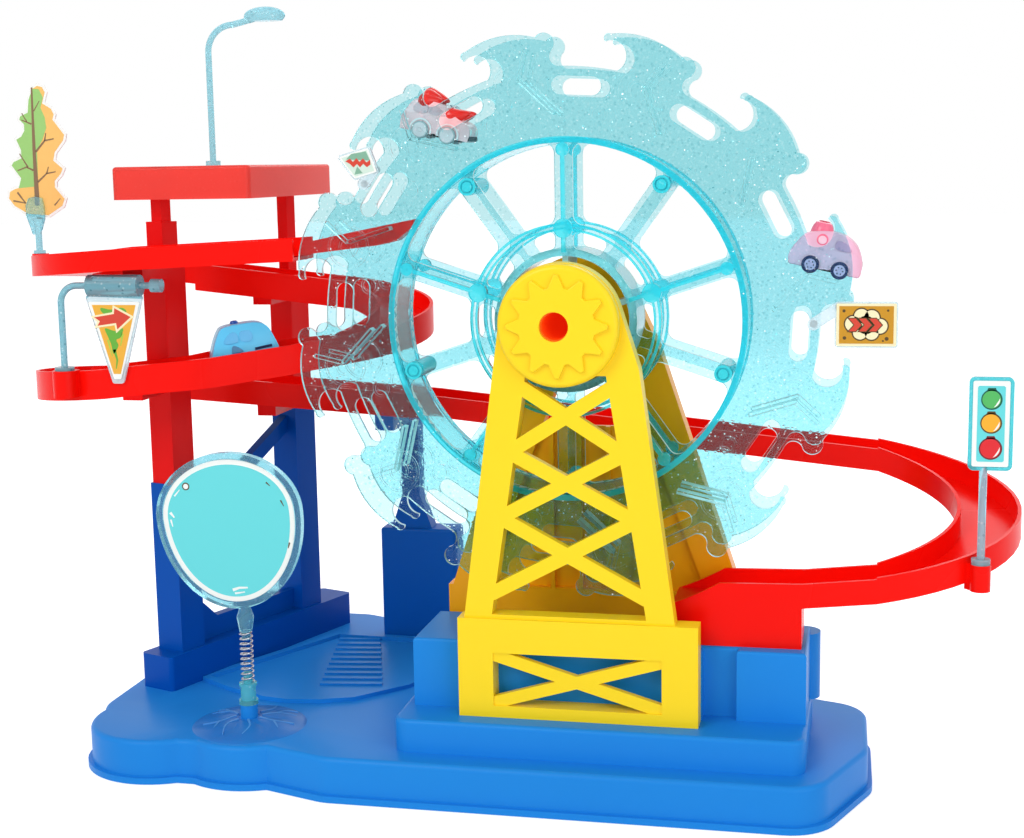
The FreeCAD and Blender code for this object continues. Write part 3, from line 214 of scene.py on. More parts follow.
paper = bpy.data.materials.new("white_floor")
paper.use_nodes = True
tree = paper.node_tree
shader = tree.nodes["Principled BSDF"]
shader.inputs["Base Color"].default_value = picture(240, 242, 244)
shader.inputs["Roughness"].default_value = 0.9
glow = tree.nodes.new("ShaderNodeEmission")
rays = tree.nodes.new("ShaderNodeLightPath")
first = tree.nodes.new("ShaderNodeMath")
first.operation = "MAXIMUM"
second = tree.nodes.new("ShaderNodeMath")
second.operation = "MAXIMUM"
third = tree.nodes.new("ShaderNodeMath")
third.operation = "MULTIPLY"
third.inputs[1].default_value = 0.55
adding = tree.nodes.new("ShaderNodeAddShader")
tree.links.new(rays.outputs["Is Camera Ray"], first.inputs[0])
tree.links.new(rays.outputs["Is Transmission Ray"], first.inputs[1])
tree.links.new(first.outputs[0], second.inputs[0])
tree.links.new(rays.outputs["Is Glossy Ray"], second.inputs[1])
tree.links.new(second.outputs[0], third.inputs[0])
tree.links.new(third.outputs[0], glow.inputs["Strength"])
tree.links.new(shader.outputs[0], adding.inputs[0])
tree.links.new(glow.outputs[0], adding.inputs[1])
tree.links.new(adding.outputs[0], tree.nodes["Material Output"].inputs["Surface"])
floor_mesh.materials.append(paper)
print("paper on the floor:", paper.name)

# %% [markdown]
# ## Tools for node groups
# An effect that many plastics share is built once as a node group. Three helpers make that short:
# one adds a named socket, one a noise, and one stretches a value to a range.


# %% Node group helpers
def socket(group, name, kind, way, value=None):
    made = group.interface.new_socket(name=name, in_out=way, socket_type=kind)
    if value is not None:
        made.default_value = value


def group_noise(group, scale, detail, source):
    noise = group.nodes.new("ShaderNodeTexNoise")
    noise.inputs["Scale"].default_value = scale
    noise.inputs["Detail"].default_value = detail
    group.links.new(source, noise.inputs["Vector"])
    return noise


def spread(group, source, low, high):
    """Stretches a 0..1 value to a range."""
    node = group.nodes.new("ShaderNodeMapRange")
    node.inputs["From Min"].default_value = 0.1
    node.inputs["From Max"].default_value = 0.9
    node.inputs["To Min"].default_value = low
    node.inputs["To Max"].default_value = high
    group.links.new(source, node.inputs["Value"])
    return node.outputs["Result"]


print("node group helpers ready")

# %% [markdown]
# ## What a mould leaves behind
# Injection moulded plastic is never one flat colour. Its surface drifts a little in shade where
# the melt cooled at different speeds, and it has a fine, even grain from the steel. One node group
# gives both, and each plastic places it with its own amounts.

# %% The moulded skin group
skin = bpy.data.node_groups.new("moulded_skin", "ShaderNodeTree")
socket(skin, "Colour", "NodeSocketColor", "INPUT", (0.5, 0.5, 0.5, 1))
socket(skin, "Deep Colour", "NodeSocketColor", "INPUT", (0.3, 0.3, 0.3, 1))
socket(skin, "Drift", "NodeSocketFloat", "INPUT", 0.25)
socket(skin, "Roughness", "NodeSocketFloat", "INPUT", 0.3)
socket(skin, "Colour", "NodeSocketColor", "OUTPUT")
socket(skin, "Roughness", "NodeSocketFloat", "OUTPUT")
socket(skin, "Height", "NodeSocketFloat", "OUTPUT")
enter = skin.nodes.new("NodeGroupInput")
leave = skin.nodes.new("NodeGroupOutput")
place = skin.nodes.new("ShaderNodeTexCoord").outputs["Object"]
cloud = group_noise(skin, 9.0, 1.0, place)
grain = group_noise(skin, 2600.0, 2.0, place)
share = skin.nodes.new("ShaderNodeMath")
share.operation = "MULTIPLY"
skin.links.new(spread(skin, cloud.outputs["Fac"], 0.0, 1.0), share.inputs[0])
skin.links.new(enter.outputs["Drift"], share.inputs[1])
tone = skin.nodes.new("ShaderNodeMix")
tone.data_type = "RGBA"
skin.links.new(share.outputs[0], tone.inputs["Factor"])
skin.links.new(enter.outputs["Colour"], tone.inputs["A"])
skin.links.new(enter.outputs["Deep Colour"], tone.inputs["B"])
skin.links.new(tone.outputs["Result"], leave.inputs["Colour"])
rough = skin.nodes.new("ShaderNodeMath")
rough.operation = "ADD"
skin.links.new(enter.outputs["Roughness"], rough.inputs[0])
skin.links.new(spread(skin, cloud.outputs["Fac"], -0.04, 0.05), rough.inputs[1])
skin.links.new(rough.outputs[0], leave.inputs["Roughness"])
skin.links.new(grain.outputs["Fac"], leave.inputs["Height"])
print("moulded skin nodes", len(skin.nodes))

# %% [markdown]
# ## One maker for every opaque plastic
# All opaque parts are the same kind of plastic in other colours. The maker takes the colour, the
# deeper shade it drifts to and how polished the mould was. Saturated plastics get a weak sheen: a
# strong one would wash their shaded sides out with the white of the room.


# %% Opaque plastic maker
def use_group(material, group, **values):
    node = material.node_tree.nodes.new("ShaderNodeGroup")
    node.node_tree = group
    for name, value in values.items():
        node.inputs[name.replace("_", " ")].default_value = value
    return node


def new_material(name):
    material = bpy.data.materials.new(name)
    material.use_nodes = True
    return material, material.node_tree.nodes["Principled BSDF"], material.node_tree.links.new


def bump(material, height, strength, distance):
    node = material.node_tree.nodes.new("ShaderNodeBump")
    node.inputs["Strength"].default_value = strength
    node.inputs["Distance"].default_value = distance
    material.node_tree.links.new(height, node.inputs["Height"])
    return node.outputs["Normal"]


def plastic(name, colour, deep, roughness=0.28, drift=0.25, coat=0.0, grain_mm=0.012, sheen=0.2):
    """An opaque moulded plastic with a soft shine."""
    material, shader, join = new_material(name)
    skin_node = use_group(material, skin, Colour=colour, Deep_Colour=deep, Drift=drift,
                          Roughness=roughness)
    join(skin_node.outputs["Colour"], shader.inputs["Base Color"])
    join(skin_node.outputs["Roughness"], shader.inputs["Roughness"])
    join(bump(material, skin_node.outputs["Height"], 0.35, grain_mm / 1000), shader.inputs["Normal"])
    shader.inputs["Coat Weight"].default_value = coat
    shader.inputs["Coat Roughness"].default_value = 0.12
    shader.inputs["IOR"].default_value = 1.5
    shader.inputs["Specular IOR Level"].default_value = sheen
    return material


print("opaque plastic maker ready")

# %% [markdown]
# ## The opaque plastics
# The tracks are a saturated signal red, the base a mid blue, the frame behind it a darker copy of
# that blue as painted shade, the front tower a warm yellow and the rear tower orange. The axle's bore
# gets a faint painted glow and a lightened orange colour: painted light for the lit inside of the bore.

# %% Opaque plastics
red = plastic("red_track", picture(255, 16, 6), picture(226, 6, 2), 0.27, 0.35, sheen=0.1)
dark_red = plastic("red_pillar", picture(240, 4, 4), picture(212, 0, 2), 0.30, 0.35, sheen=0.1)
blue = plastic("blue_base", picture(32, 138, 222), picture(20, 120, 208), 0.36, 0.4, sheen=0.12)
# Painted shade: the frame is the base's blue, darkened to stand in for the shade it is seen in.
frame_blue_painted_shade = plastic("frame_blue_with_painted_shade", picture(0, 84, 178), picture(0, 66, 158), 0.32, 0.4, sheen=0.08)
block_blue = plastic("block_blue", picture(8, 98, 190), picture(2, 82, 172), 0.34, 0.4, sheen=0.1)
mound_blue = plastic("mound_blue", picture(34, 120, 200), picture(22, 100, 182), 0.34, 0.6)
yellow = plastic("yellow_tower", picture(255, 220, 34), picture(255, 206, 20), 0.30, 0.35)
orange = plastic("orange_tower", picture(255, 170, 8), picture(250, 150, 0), 0.32, 0.35)
axle_glow_plastic = plastic("axle_red_painted_glow", picture(255, 120, 30), picture(240, 70, 14), 0.30, 0.3)
# Painted light: the emission is a glow that stands in for light inside the bore.
axle_glow_shader = axle_glow_plastic.node_tree.nodes["Principled BSDF"]
axle_glow_shader.inputs["Emission Color"].default_value = picture(240, 60, 8)
axle_glow_shader.inputs["Emission Strength"].default_value = 0.14
bush_white = plastic("bush_white", picture(228, 226, 220), picture(210, 208, 200), 0.4, 0.3)
print("opaque plastics made")

# %% [markdown]
# ## Glitter inside clear plastic
# The wheel is clear plastic with fine flakes in it. Some catch the light as pale dots, a few show
# as dark ones. A Voronoi texture has one point in each cell, and a small disc round each point is
# a flake. The group mixes pale and dark ones into a plain tint.

# %% The glitter group
glitter = bpy.data.node_groups.new("glitter", "ShaderNodeTree")
socket(glitter, "Plain", "NodeSocketColor", "INPUT", (0.4, 0.9, 0.9, 1))
socket(glitter, "Flake", "NodeSocketColor", "INPUT", (0.9, 1.0, 1.0, 1))
socket(glitter, "Shade", "NodeSocketColor", "INPUT", (0.1, 0.5, 0.5, 1))
socket(glitter, "Amount", "NodeSocketFloat", "INPUT", 0.5)
socket(glitter, "Colour", "NodeSocketColor", "OUTPUT")
socket(glitter, "Flakes", "NodeSocketFloat", "OUTPUT")
enter = glitter.nodes.new("NodeGroupInput")
leave = glitter.nodes.new("NodeGroupOutput")
place = glitter.nodes.new("ShaderNodeTexCoord").outputs["Object"]


def dots(scale, radius, offset):
    """Round dots of about one radius, one in each cell, as a mask."""
    shift = glitter.nodes.new("ShaderNodeVectorMath")
    shift.operation = "ADD"
    shift.inputs[1].default_value = (offset, offset, offset)
    glitter.links.new(place, shift.inputs[0])
    cells = glitter.nodes.new("ShaderNodeTexVoronoi")
    cells.inputs["Scale"].default_value = scale
    glitter.links.new(shift.outputs[0], cells.inputs["Vector"])
    mask = glitter.nodes.new("ShaderNodeMapRange")
    mask.inputs["From Min"].default_value = radius
    mask.inputs["From Max"].default_value = radius * 0.55
    glitter.links.new(cells.outputs["Distance"], mask.inputs["Value"])
    return mask.outputs["Result"]


def times(group, a, b):
    node = group.nodes.new("ShaderNodeMath")
    node.operation = "MULTIPLY"
    group.links.new(a, node.inputs[0])
    group.links.new(b, node.inputs[1])
    return node.outputs[0]


def blended(group, factor, a, b):
    node = group.nodes.new("ShaderNodeMix")
    node.data_type = "RGBA"
    group.links.new(factor, node.inputs["Factor"])
    group.links.new(a, node.inputs["A"])
    group.links.new(b, node.inputs["B"])
    return node.outputs["Result"]


bright = times(glitter, dots(330.0, 0.26, 0.0), enter.outputs["Amount"])
dark = times(glitter, dots(240.0, 0.22, 0.37), enter.outputs["Amount"])
tinted = blended(glitter, dark, enter.outputs["Plain"], enter.outputs["Shade"])
glitter.links.new(blended(glitter, bright, tinted, enter.outputs["Flake"]), leave.inputs["Colour"])
glitter.links.new(bright, leave.inputs["Flakes"])
print("glitter nodes", len(glitter.nodes))

# %% [markdown]
# ## One maker for every clear plastic
# Clear plastic is glass with a tint, but glass would be too clean, so a share of the surface stays
# plain tinted plastic. Two things are easy to get wrong. A full glass index would bend the far
# plate out of place, so it stays low. And real clear plastic throws only a pale shadow: for shadow
# rays alone the surface turns mostly transparent.


# %% Clear plastic maker
def clear(name, tint, flake, shade, amount=0.6, through=0.93, roughness=0.05, ior=1.12):
    """A clear tinted plastic with flakes, and a glossy skin over it."""
    material, shader, join = new_material(name)
    spots = use_group(material, glitter, Plain=tint, Flake=flake, Shade=shade, Amount=amount)
    surface = use_group(material, skin, Roughness=roughness)
    join(spots.outputs["Colour"], shader.inputs["Base Color"])
    join(surface.outputs["Roughness"], shader.inputs["Roughness"])
    join(bump(material, spots.outputs["Flakes"], 0.5, 0.00015), shader.inputs["Normal"])
    shader.inputs["Transmission Weight"].default_value = through
    rays = material.node_tree.nodes.new("ShaderNodeLightPath")
    solid = material.node_tree.nodes.new("ShaderNodeMapRange")
    solid.inputs["To Min"].default_value = 1.0
    solid.inputs["To Max"].default_value = 1.0 - 0.97 * through
    join(rays.outputs["Is Shadow Ray"], solid.inputs["Value"])
    join(solid.outputs["Result"], shader.inputs["Alpha"])
    shader.inputs["IOR"].default_value = ior
    shader.inputs["Coat Weight"].default_value = 0.1
    shader.inputs["Coat Roughness"].default_value = 0.08
    return material


print("clear plastic maker ready")

# %% [markdown]
# ## The clear plastics
# The drum and hub are pale, the ribs and posts deep cyan where light is led through their length,
# the stems a greyish cyan, and the sign's and flag's rims nearly clear. The red shelter lets only
# a little light through.

# %% Clear plastics
rim_cyan = clear("rim_cyan", picture(150, 228, 234), picture(225, 252, 255), picture(90, 190, 205), 0.5)
hub_cyan = clear("hub_cyan", picture(176, 224, 230), picture(225, 250, 255), picture(120, 190, 205), 0.5,
                 0.15, 0.1)
stem_cyan = clear("stem_cyan", picture(164, 216, 226), picture(235, 252, 255), picture(80, 150, 170),
                  0.5, 0.7, 0.08, 1.15)
arm_cyan = clear("arm_cyan", picture(144, 198, 210), picture(225, 246, 250), picture(70, 130, 145),
                 0.7, 0.5, 0.1, 1.2)
pole_clear = clear("pole_clear", picture(172, 214, 226), picture(240, 252, 255), picture(110, 150, 165),
                   0.5, 0.6, 0.1, 1.15)
flag_rim = clear("flag_rim", picture(226, 240, 244), picture(250, 255, 255), picture(150, 190, 200),
                 0.4, 0.5, 0.1, 1.1)
neck_cyan = clear("neck_cyan", picture(110, 212, 220), picture(225, 250, 255), picture(70, 160, 175),
                  0.4, 0.55, 0.1, 1.15)
mirror_rim = clear("mirror_rim", picture(146, 208, 220), picture(235, 250, 255), picture(100, 150, 170),
                   0.4, 0.8, 0.1, 1.15)
light_rim = clear("light_rim", picture(92, 206, 214), picture(190, 240, 245), picture(40, 160, 175),
                  0.3, 0.6, 0.12, 1.2)
rib_cyan = clear("rib_cyan", picture(58, 222, 238), picture(150, 240, 248), picture(20, 170, 190),
                 0.3, 0.55, 0.1, 1.15)
post_cyan = clear("post_cyan", picture(64, 220, 232), picture(150, 240, 248), picture(20, 180, 200),
                  0.3, 0.15, 0.12, 1.15)
cut_edge = clear("cut_edge", picture(206, 240, 240), picture(250, 255, 255), picture(170, 215, 220),
                 0.2, 0.45, 0.3, 1.1)
clear_red = clear("clear_red", picture(250, 84, 74), picture(255, 120, 110), picture(220, 50, 45), 0.1,
                  0.35, 0.2)
print("clear plastics made")

# %% [markdown]
# ## Metal and ink
# The spring is drawn steel wire and the crank's screw is plated. Cards are printed: ink lies flat
# on white card with a thin gloss, and every ink drifts a little in strength as a roller leaves it.


# %% Metal and ink makers
def metal(name, colour, roughness):
    material, shader, join = new_material(name)
    surface = use_group(material, skin, Colour=colour, Deep_Colour=picture(110, 112, 116), Drift=0.3,
                        Roughness=roughness)
    join(surface.outputs["Colour"], shader.inputs["Base Color"])
    join(surface.outputs["Roughness"], shader.inputs["Roughness"])
    shader.inputs["Metallic"].default_value = 1.0
    return material


steel = metal("spring_wire", picture(188, 190, 196), 0.26)
screw_steel = metal("screw_steel", picture(200, 202, 206), 0.3)


def ink(name, colour, deep=None):
    deep = deep or tuple(0.85 * c for c in colour[:3]) + (1,)
    return plastic(name, colour, deep, 0.34, 0.3, 0.25, 0.004)


print("metal and ink makers ready")

# %% [markdown]
# ## The inks
# Teal for the round sign and the traffic light, amber, greens and coral for the rest. The few dark
# inks draw outlines.

# %% Inks
card_white = ink("card_white", picture(246, 246, 240))
teal_ink = ink("teal_ink", picture(104, 216, 218), picture(92, 208, 212))
amber_ink = ink("amber_ink", picture(238, 176, 60), picture(228, 164, 50))
brown_amber_ink = ink("brown_amber_ink", picture(204, 146, 30), picture(190, 130, 24))
cream_ink = ink("cream_ink", picture(250, 236, 190))
leaf_ink = ink("leaf_ink", picture(158, 206, 120), picture(140, 192, 100))
tan_ink = ink("tan_ink", picture(248, 196, 112), picture(244, 182, 92))
bark_ink = ink("bark_ink", picture(140, 112, 84), picture(120, 94, 66))
brush_ink = ink("brush_ink", picture(104, 176, 60), picture(90, 160, 50))
coral_ink = ink("coral_ink", picture(216, 70, 50), picture(200, 56, 40))
outline_ink = ink("outline_ink", picture(86, 66, 30))
signal_green = ink("signal_green", picture(84, 184, 96), picture(70, 168, 84))
signal_amber = ink("signal_amber", picture(252, 176, 44), picture(244, 164, 34))
signal_red = ink("signal_red", picture(226, 36, 44), picture(206, 24, 34))
deep_green = ink("deep_green", picture(18, 92, 70))
wine_ink = ink("wine_ink", picture(110, 20, 34))
lime_ink = ink("lime_ink", picture(176, 206, 74))
sage_ink = ink("sage_ink", picture(132, 178, 152))
pale_print = ink("pale_print", picture(212, 232, 216))
print("inks mixed")

# %% [markdown]
# ## Paints and small parts
# Two cars stand between the wheel's plates, where the cyan plastic takes the red out of what is
# seen through it. Their own colours are warm, so that they read as warm grey and lilac there.

# %% Paints
grey_paint = plastic("grey_paint", picture(255, 186, 188), picture(246, 174, 178), 0.34, 0.4, 0.3)
pink_paint = plastic("pink_paint", picture(244, 180, 202), picture(232, 168, 194), 0.34, 0.4, 0.3)
blue_paint = plastic("blue_paint", picture(96, 206, 248), picture(78, 188, 238), 0.3, 0.5, 0.3)
grey_lip = plastic("grey_lip", picture(255, 222, 222), picture(250, 212, 212), 0.3)
grey_cap = plastic("grey_cap", picture(236, 196, 198), picture(226, 186, 188), 0.4)
grey_window = plastic("grey_window", picture(222, 158, 164), picture(208, 146, 152), 0.15, 0.3, 0.5)
pink_window = plastic("pink_window", picture(214, 150, 184), picture(196, 132, 168), 0.15, 0.3, 0.5)
teal_window = plastic("teal_window", picture(34, 124, 176), picture(24, 104, 156), 0.15, 0.3, 0.5)
blue_shade = plastic("blue_shade", picture(82, 184, 236), picture(66, 166, 222), 0.12, 0.3, 0.6)
navy_slot = plastic("navy_slot", picture(14, 30, 78), picture(10, 22, 60), 0.4)
pale_stripe = plastic("pale_stripe", picture(206, 222, 236), picture(190, 208, 226), 0.35)
van_front = plastic("van_front", picture(182, 176, 186), picture(164, 160, 172), 0.35)
lilac_cap = plastic("lilac_cap", picture(206, 170, 206), picture(190, 156, 192), 0.4)
pale_pink = plastic("pale_pink", picture(255, 200, 214), picture(250, 184, 202), 0.3, 0.3, 0.3)
beacon_cap = plastic("beacon_cap", picture(206, 70, 90), picture(184, 52, 74), 0.3, 0.3, 0.3)
grey_wheel = plastic("grey_wheel", picture(176, 166, 168), picture(158, 148, 152), 0.4)
navy_wheel = plastic("navy_wheel", picture(30, 34, 84), picture(22, 26, 66), 0.4)
blue_vein = plastic("blue_vein", picture(82, 152, 218), picture(66, 136, 206), 0.35, 0.3)
foil = metal("foil", picture(250, 255, 255), 0.35)
dark_foil = metal("dark_foil", picture(110, 190, 200), 0.4)
dark_part = plastic("dark_part", picture(44, 48, 58), picture(34, 36, 44), 0.5)
window_dark = plastic("window_dark", picture(60, 78, 100), picture(44, 60, 80), 0.12, 0.3, 0.5)
beacon_red = plastic("beacon_red", picture(236, 30, 20), picture(196, 10, 6), 0.2, 0.3, 0.4)
beacon_pink = plastic("beacon_pink", picture(255, 120, 150), picture(230, 90, 120), 0.2, 0.3, 0.4)
beacon_blue = plastic("beacon_blue", picture(30, 90, 180), picture(20, 70, 150), 0.2, 0.3, 0.4)
lamp_white = plastic("lamp_white", picture(240, 238, 230), picture(220, 220, 214), 0.2, 0.2, 0.4)
print("paints and metals", len(bpy.data.materials))

# %% [markdown]
# ## Measures for sorting faces
# Some solids are one piece on the toy but show more than one finish. A modifier can give faces
# their plastic by place and direction. These helpers compare a value with a limit, take the size
# of a vector along Y, and join two conditions.


# %% Face sorting helpers
def above(tree, value, limit, greater=True):
    node = tree.nodes.new("FunctionNodeCompare")
    node.data_type = "FLOAT"
    node.operation = "GREATER_THAN" if greater else "LESS_THAN"
    node.inputs["B"].default_value = limit
    tree.links.new(value, node.inputs["A"])
    return node.outputs["Result"]


def size_along_y(tree, vector):
    split = tree.nodes.new("ShaderNodeSeparateXYZ")
    tree.links.new(vector, split.inputs[0])
    size = tree.nodes.new("ShaderNodeMath")
    size.operation = "ABSOLUTE"
    tree.links.new(split.outputs["Y"], size.inputs[0])
    return size.outputs[0]


def both(tree, a, b):
    node = tree.nodes.new("FunctionNodeBooleanMath")
    node.operation = "AND"
    tree.links.new(a, node.inputs[0])
    tree.links.new(b, node.inputs[1])
    return node.outputs[0]


print("face sorting helpers ready")

# %% [markdown]
# ## The wheel's two plates
# A plate is one solid: a thin sheet, ribs and rings that stand proud of it, and the cut edges of its
# slots. Light that enters a sheet is led to its edges, so on the toy the edges look milky and the
# ribs near the hub look deep cyan. The tree gives walls of the sheet the milky plastic, and
# everything proud of the sheet within the drum the deep one.

# %% Plate plastics and their modifier
sheet_cyan = clear("sheet_cyan", picture(194, 235, 239), picture(250, 255, 255), picture(120, 190, 200),
                   0.6, 0.992)
sheet_face = 0.0164
sorting, sorting_in, sorting_out = geometry_tree("plate_faces")
depth = size_along_y(sorting, sorting.nodes.new("GeometryNodeInputPosition").outputs[0])
turn = size_along_y(sorting, sorting.nodes.new("GeometryNodeInputNormal").outputs[0])
from_hub = sorting.nodes.new("ShaderNodeVectorMath")
from_hub.operation = "SUBTRACT"
from_hub.inputs[1].default_value = (0, 0, 0.252)
sorting.links.new(sorting.nodes.new("GeometryNodeInputPosition").outputs[0], from_hub.inputs[0])
flat = sorting.nodes.new("ShaderNodeVectorMath")
flat.operation = "MULTIPLY"
flat.inputs[1].default_value = (1, 0, 1)
sorting.links.new(from_hub.outputs[0], flat.inputs[0])
reach = sorting.nodes.new("ShaderNodeVectorMath")
reach.operation = "LENGTH"
sorting.links.new(flat.outputs[0], reach.inputs[0])


give_edge = sorting.nodes.new("GeometryNodeSetMaterial")
give_edge.inputs["Material"].default_value = cut_edge
give_rib = sorting.nodes.new("GeometryNodeSetMaterial")
give_rib.inputs["Material"].default_value = rib_cyan
sorting.links.new(sorting_in.outputs[0], give_edge.inputs["Geometry"])
sorting.links.new(both(sorting, above(sorting, turn, 0.4, False),
                       above(sorting, depth, sheet_face, False)), give_edge.inputs["Selection"])
sorting.links.new(give_edge.outputs[0], give_rib.inputs["Geometry"])
sorting.links.new(both(sorting, above(sorting, depth, sheet_face),
                       above(sorting, reach.outputs["Value"], 0.097, False)), give_rib.inputs["Selection"])
sorting.links.new(give_rib.outputs[0], sorting_out.inputs[0])
for name in ("wheel_plate_front", "wheel_plate_rear"):
    nodes[name].modifiers.new("plate_faces", "NODES").node_group = sorting
print("plates sorted into sheet, edge and rib")

# %% [markdown]
# ## Each solid gets its plastic
# One helper hands a finish to any number of solids, so that the list below reads like the toy's own
# parts list.


# %% Finishes on the solids
def dress(material, *names):
    for name in names:
        mesh = nodes[name].data
        mesh.materials.clear()
        mesh.materials.append(material)


dress(blue, "base_shell")
dress(block_blue, "back_column")
dress(yellow, "tower_front", "crank_arm")
dress(orange, "tower_rear", "crank_knob")
dress(bush_white, "rear_bush")
dress(sheet_cyan, "wheel_plate_front", "wheel_plate_rear")
dress(rim_cyan, "wheel_drum")
dress(hub_cyan, "wheel_hub")
dress(axle_glow_plastic, "axle")
dress(post_cyan, "wheel_pins", "wheel_spacers")
dress(screw_steel, "crank_screw")
dress(red, *[name for name in nodes if name.startswith("track_")])
dress(dark_red, "pillar_left", "pillar_right")
dress(frame_blue_painted_shade, "support_frame")
dress(clear_red, "roof")
dress(stem_cyan, "street_lamp", "tree_stem")
dress(neck_cyan, "spring_foot")
dress(flag_rim, "end_frame", "hazard_frame")
dress(mirror_rim, "mirror_frame")
dress(light_rim, "traffic_frame")
dress(arm_cyan, "go_arm")
dress(flag_rim, "go_flag_frame")
dress(card_white, "tree_card", "traffic_panel", "end_card", "go_flag_card", "mirror_panel")
dress(cream_ink, "hazard_card")
dress(grey_wheel, "grey_car_axle_front", "grey_car_axle_rear", "blue_car_axle_front",
      "blue_car_axle_rear")
dress(navy_wheel, "pink_car_axle_front", "pink_car_axle_rear")
dress(dark_part, "grey_car_chassis", "pink_car_chassis", "blue_car_chassis")
dress(window_dark, "grey_car_glass", "pink_car_glass", "blue_car_glass")
dress(steel, "spring")
print("solids dressed")

# %% [markdown]
# ## Frames with two clear plastics
# The flag hangs from a cyan barrel, but its frame is nearly clear, and the traffic light has a teal
# frame on a clear pole. In both, a height tells one part from the other, so one helper gives all
# faces above or below it another plastic.


# %% Frames in two plastics
def two_plastics(name, plastic_there, height, higher=True):
    """Gives the faces of a solid above or below a height another plastic."""
    tree, enter_tree, leave_tree = geometry_tree(name + "_by_height")
    give = tree.nodes.new("GeometryNodeSetMaterial")
    give.inputs["Material"].default_value = plastic_there
    split = tree.nodes.new("ShaderNodeSeparateXYZ")
    tree.links.new(tree.nodes.new("GeometryNodeInputPosition").outputs[0], split.inputs[0])
    tree.links.new(above(tree, split.outputs["Z"], height, higher), give.inputs["Selection"])
    tree.links.new(enter_tree.outputs[0], give.inputs["Geometry"])
    tree.links.new(give.outputs[0], leave_tree.inputs[0])
    nodes[name].modifiers.new("two_plastics", "NODES").node_group = tree


two_plastics("go_flag_frame", arm_cyan, 0.2625)
two_plastics("traffic_frame", pole_clear, 0.171, False)
print("two frames in two plastics")

# %% [markdown]
# ## Air between parts that touch
# Where a card lies against clear plastic, both faces share one plane, and light can't tell which
# comes first: the card turns black. On the toy there is always a hair of air. A displace modifier
# draws each such part in by a twentieth of a millimetre, which leaves the air and changes no size.

# %% A hair of air
for name in ("mirror_panel", "traffic_panel", "end_card", "hazard_card", "go_flag_card", "tree_card",
             "wheel_hub", "wheel_drum", "wheel_spacers", "wheel_pins"):
    air = nodes[name].modifiers.new("air", "DISPLACE")
    air.strength = -0.00005
    air.mid_level = 0.0
print("air left round ten parts")

# %% [markdown]
# ## A heap for pieces of our own
# Prints, cars and lamps are built face by face in millimetres. A small heap collects points and
# faces, each with its finish, and turns them into one mesh that rides on a body of the toy. It
# knows two shapes: a flat stamp with a little thickness, and a turned profile.


# %% The heap that collects faces
class Heap:
    """Points and faces of one piece, in millimetres, each face with its finish."""

    def __init__(self):
        self.points, self.faces, self.inks = [], [], []

    def add(self, points, faces, ink):
        start = len(self.points)
        self.points += [Vector(p) for p in points]
        self.faces += [[i + start for i in face] for face in faces]
        self.inks += [ink] * len(faces)

    def stamp(self, outline, front, back, ink):
        """A flat shape drawn in X and Z, from its printed face back into the card."""
        n = len(outline)
        points = [(x, front, z) for x, z in outline] + [(x, back, z) for x, z in outline]
        sides = [[i, (i + 1) % n, n + (i + 1) % n, n + i] for i in range(n)]
        self.add(points, [list(range(n)), list(range(2 * n - 1, n - 1, -1))] + sides, ink)

    def turned(self, profile, at, axis, ink, steps=32):
        """A turned shape: pairs of radius and height along an axis from a point."""
        axis = Vector(axis).normalized()
        side = axis.orthogonal().normalized()
        other = axis.cross(side)
        points = []
        for radius, height in profile:
            for k in range(steps):
                angle = 2 * pi * k / steps
                points.append(Vector(at) + axis * height
                              + (side * cos(angle) + other * sin(angle)) * radius)
        faces = []
        for row in range(len(profile) - 1):
            for k in range(steps):
                a, b = row * steps + k, row * steps + (k + 1) % steps
                faces.append([a, b, b + steps, a + steps])
        faces.append(list(range(steps - 1, -1, -1)))
        faces.append([(len(profile) - 1) * steps + k for k in range(steps)])
        self.add(points, faces, ink)

    def make(self, name, body, place=None):
        mesh = bpy.data.meshes.new(name)
        place = place or Matrix.Identity(4)
        mesh.from_pydata([(place @ p) / 1000 for p in self.points], [], self.faces)
        finishes = list(dict.fromkeys(self.inks))
        for finish in finishes:
            mesh.materials.append(finish)
        for polygon, finish in zip(mesh.polygons, self.inks):
            polygon.material_index = finishes.index(finish)
        tidy = bmesh.new()
        tidy.from_mesh(mesh)
        bmesh.ops.recalc_face_normals(tidy, faces=tidy.faces)
        tidy.to_mesh(mesh)
        tidy.free()
        made = bpy.data.objects.new(name, mesh)
        bpy.context.scene.collection.objects.link(made)
        smooth_walls(made)
        if body:
            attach(made, body)
        return made


print("heap ready")

# %% [markdown]
# ## Outlines to print
# A print is a set of outlines in one plane: discs, crescents of light, brush strokes that thin out,
# and the same outline drawn a little smaller for a border.


# %% Outline helpers
def disc(x, z, radius, steps=36):
    return [(x + radius * cos(2 * pi * k / steps), z + radius * sin(2 * pi * k / steps))
            for k in range(steps)]


def crescent(x, z, radius, start, end, thick, steps=14):
    """A thin moon along part of a circle, from one angle to another."""
    outer, inner = [], []
    for k in range(steps + 1):
        share = k / steps
        angle = radians(start + (end - start) * share)
        depth = thick * sin(pi * share)
        outer.append((x + radius * cos(angle), z + radius * sin(angle)))
        inner.append((x + (radius - depth) * cos(angle), z + (radius - depth) * sin(angle)))
    return outer + inner[-2:0:-1]


def stroke(points, width_start, width_end):
    """A brush stroke along a line, from one width to another."""
    left, right = [], []
    for i, (x, z) in enumerate(points):
        a = points[max(i - 1, 0)]
        b = points[min(i + 1, len(points) - 1)]
        length = max(1e-6, sqrt((b[0] - a[0]) ** 2 + (b[1] - a[1]) ** 2))
        nx, nz = -(b[1] - a[1]) / length, (b[0] - a[0]) / length
        half = (width_start + (width_end - width_start) * i / (len(points) - 1)) / 2
        left.append((x + nx * half, z + nz * half))
        right.append((x - nx * half, z - nz * half))
    return left + right[::-1]


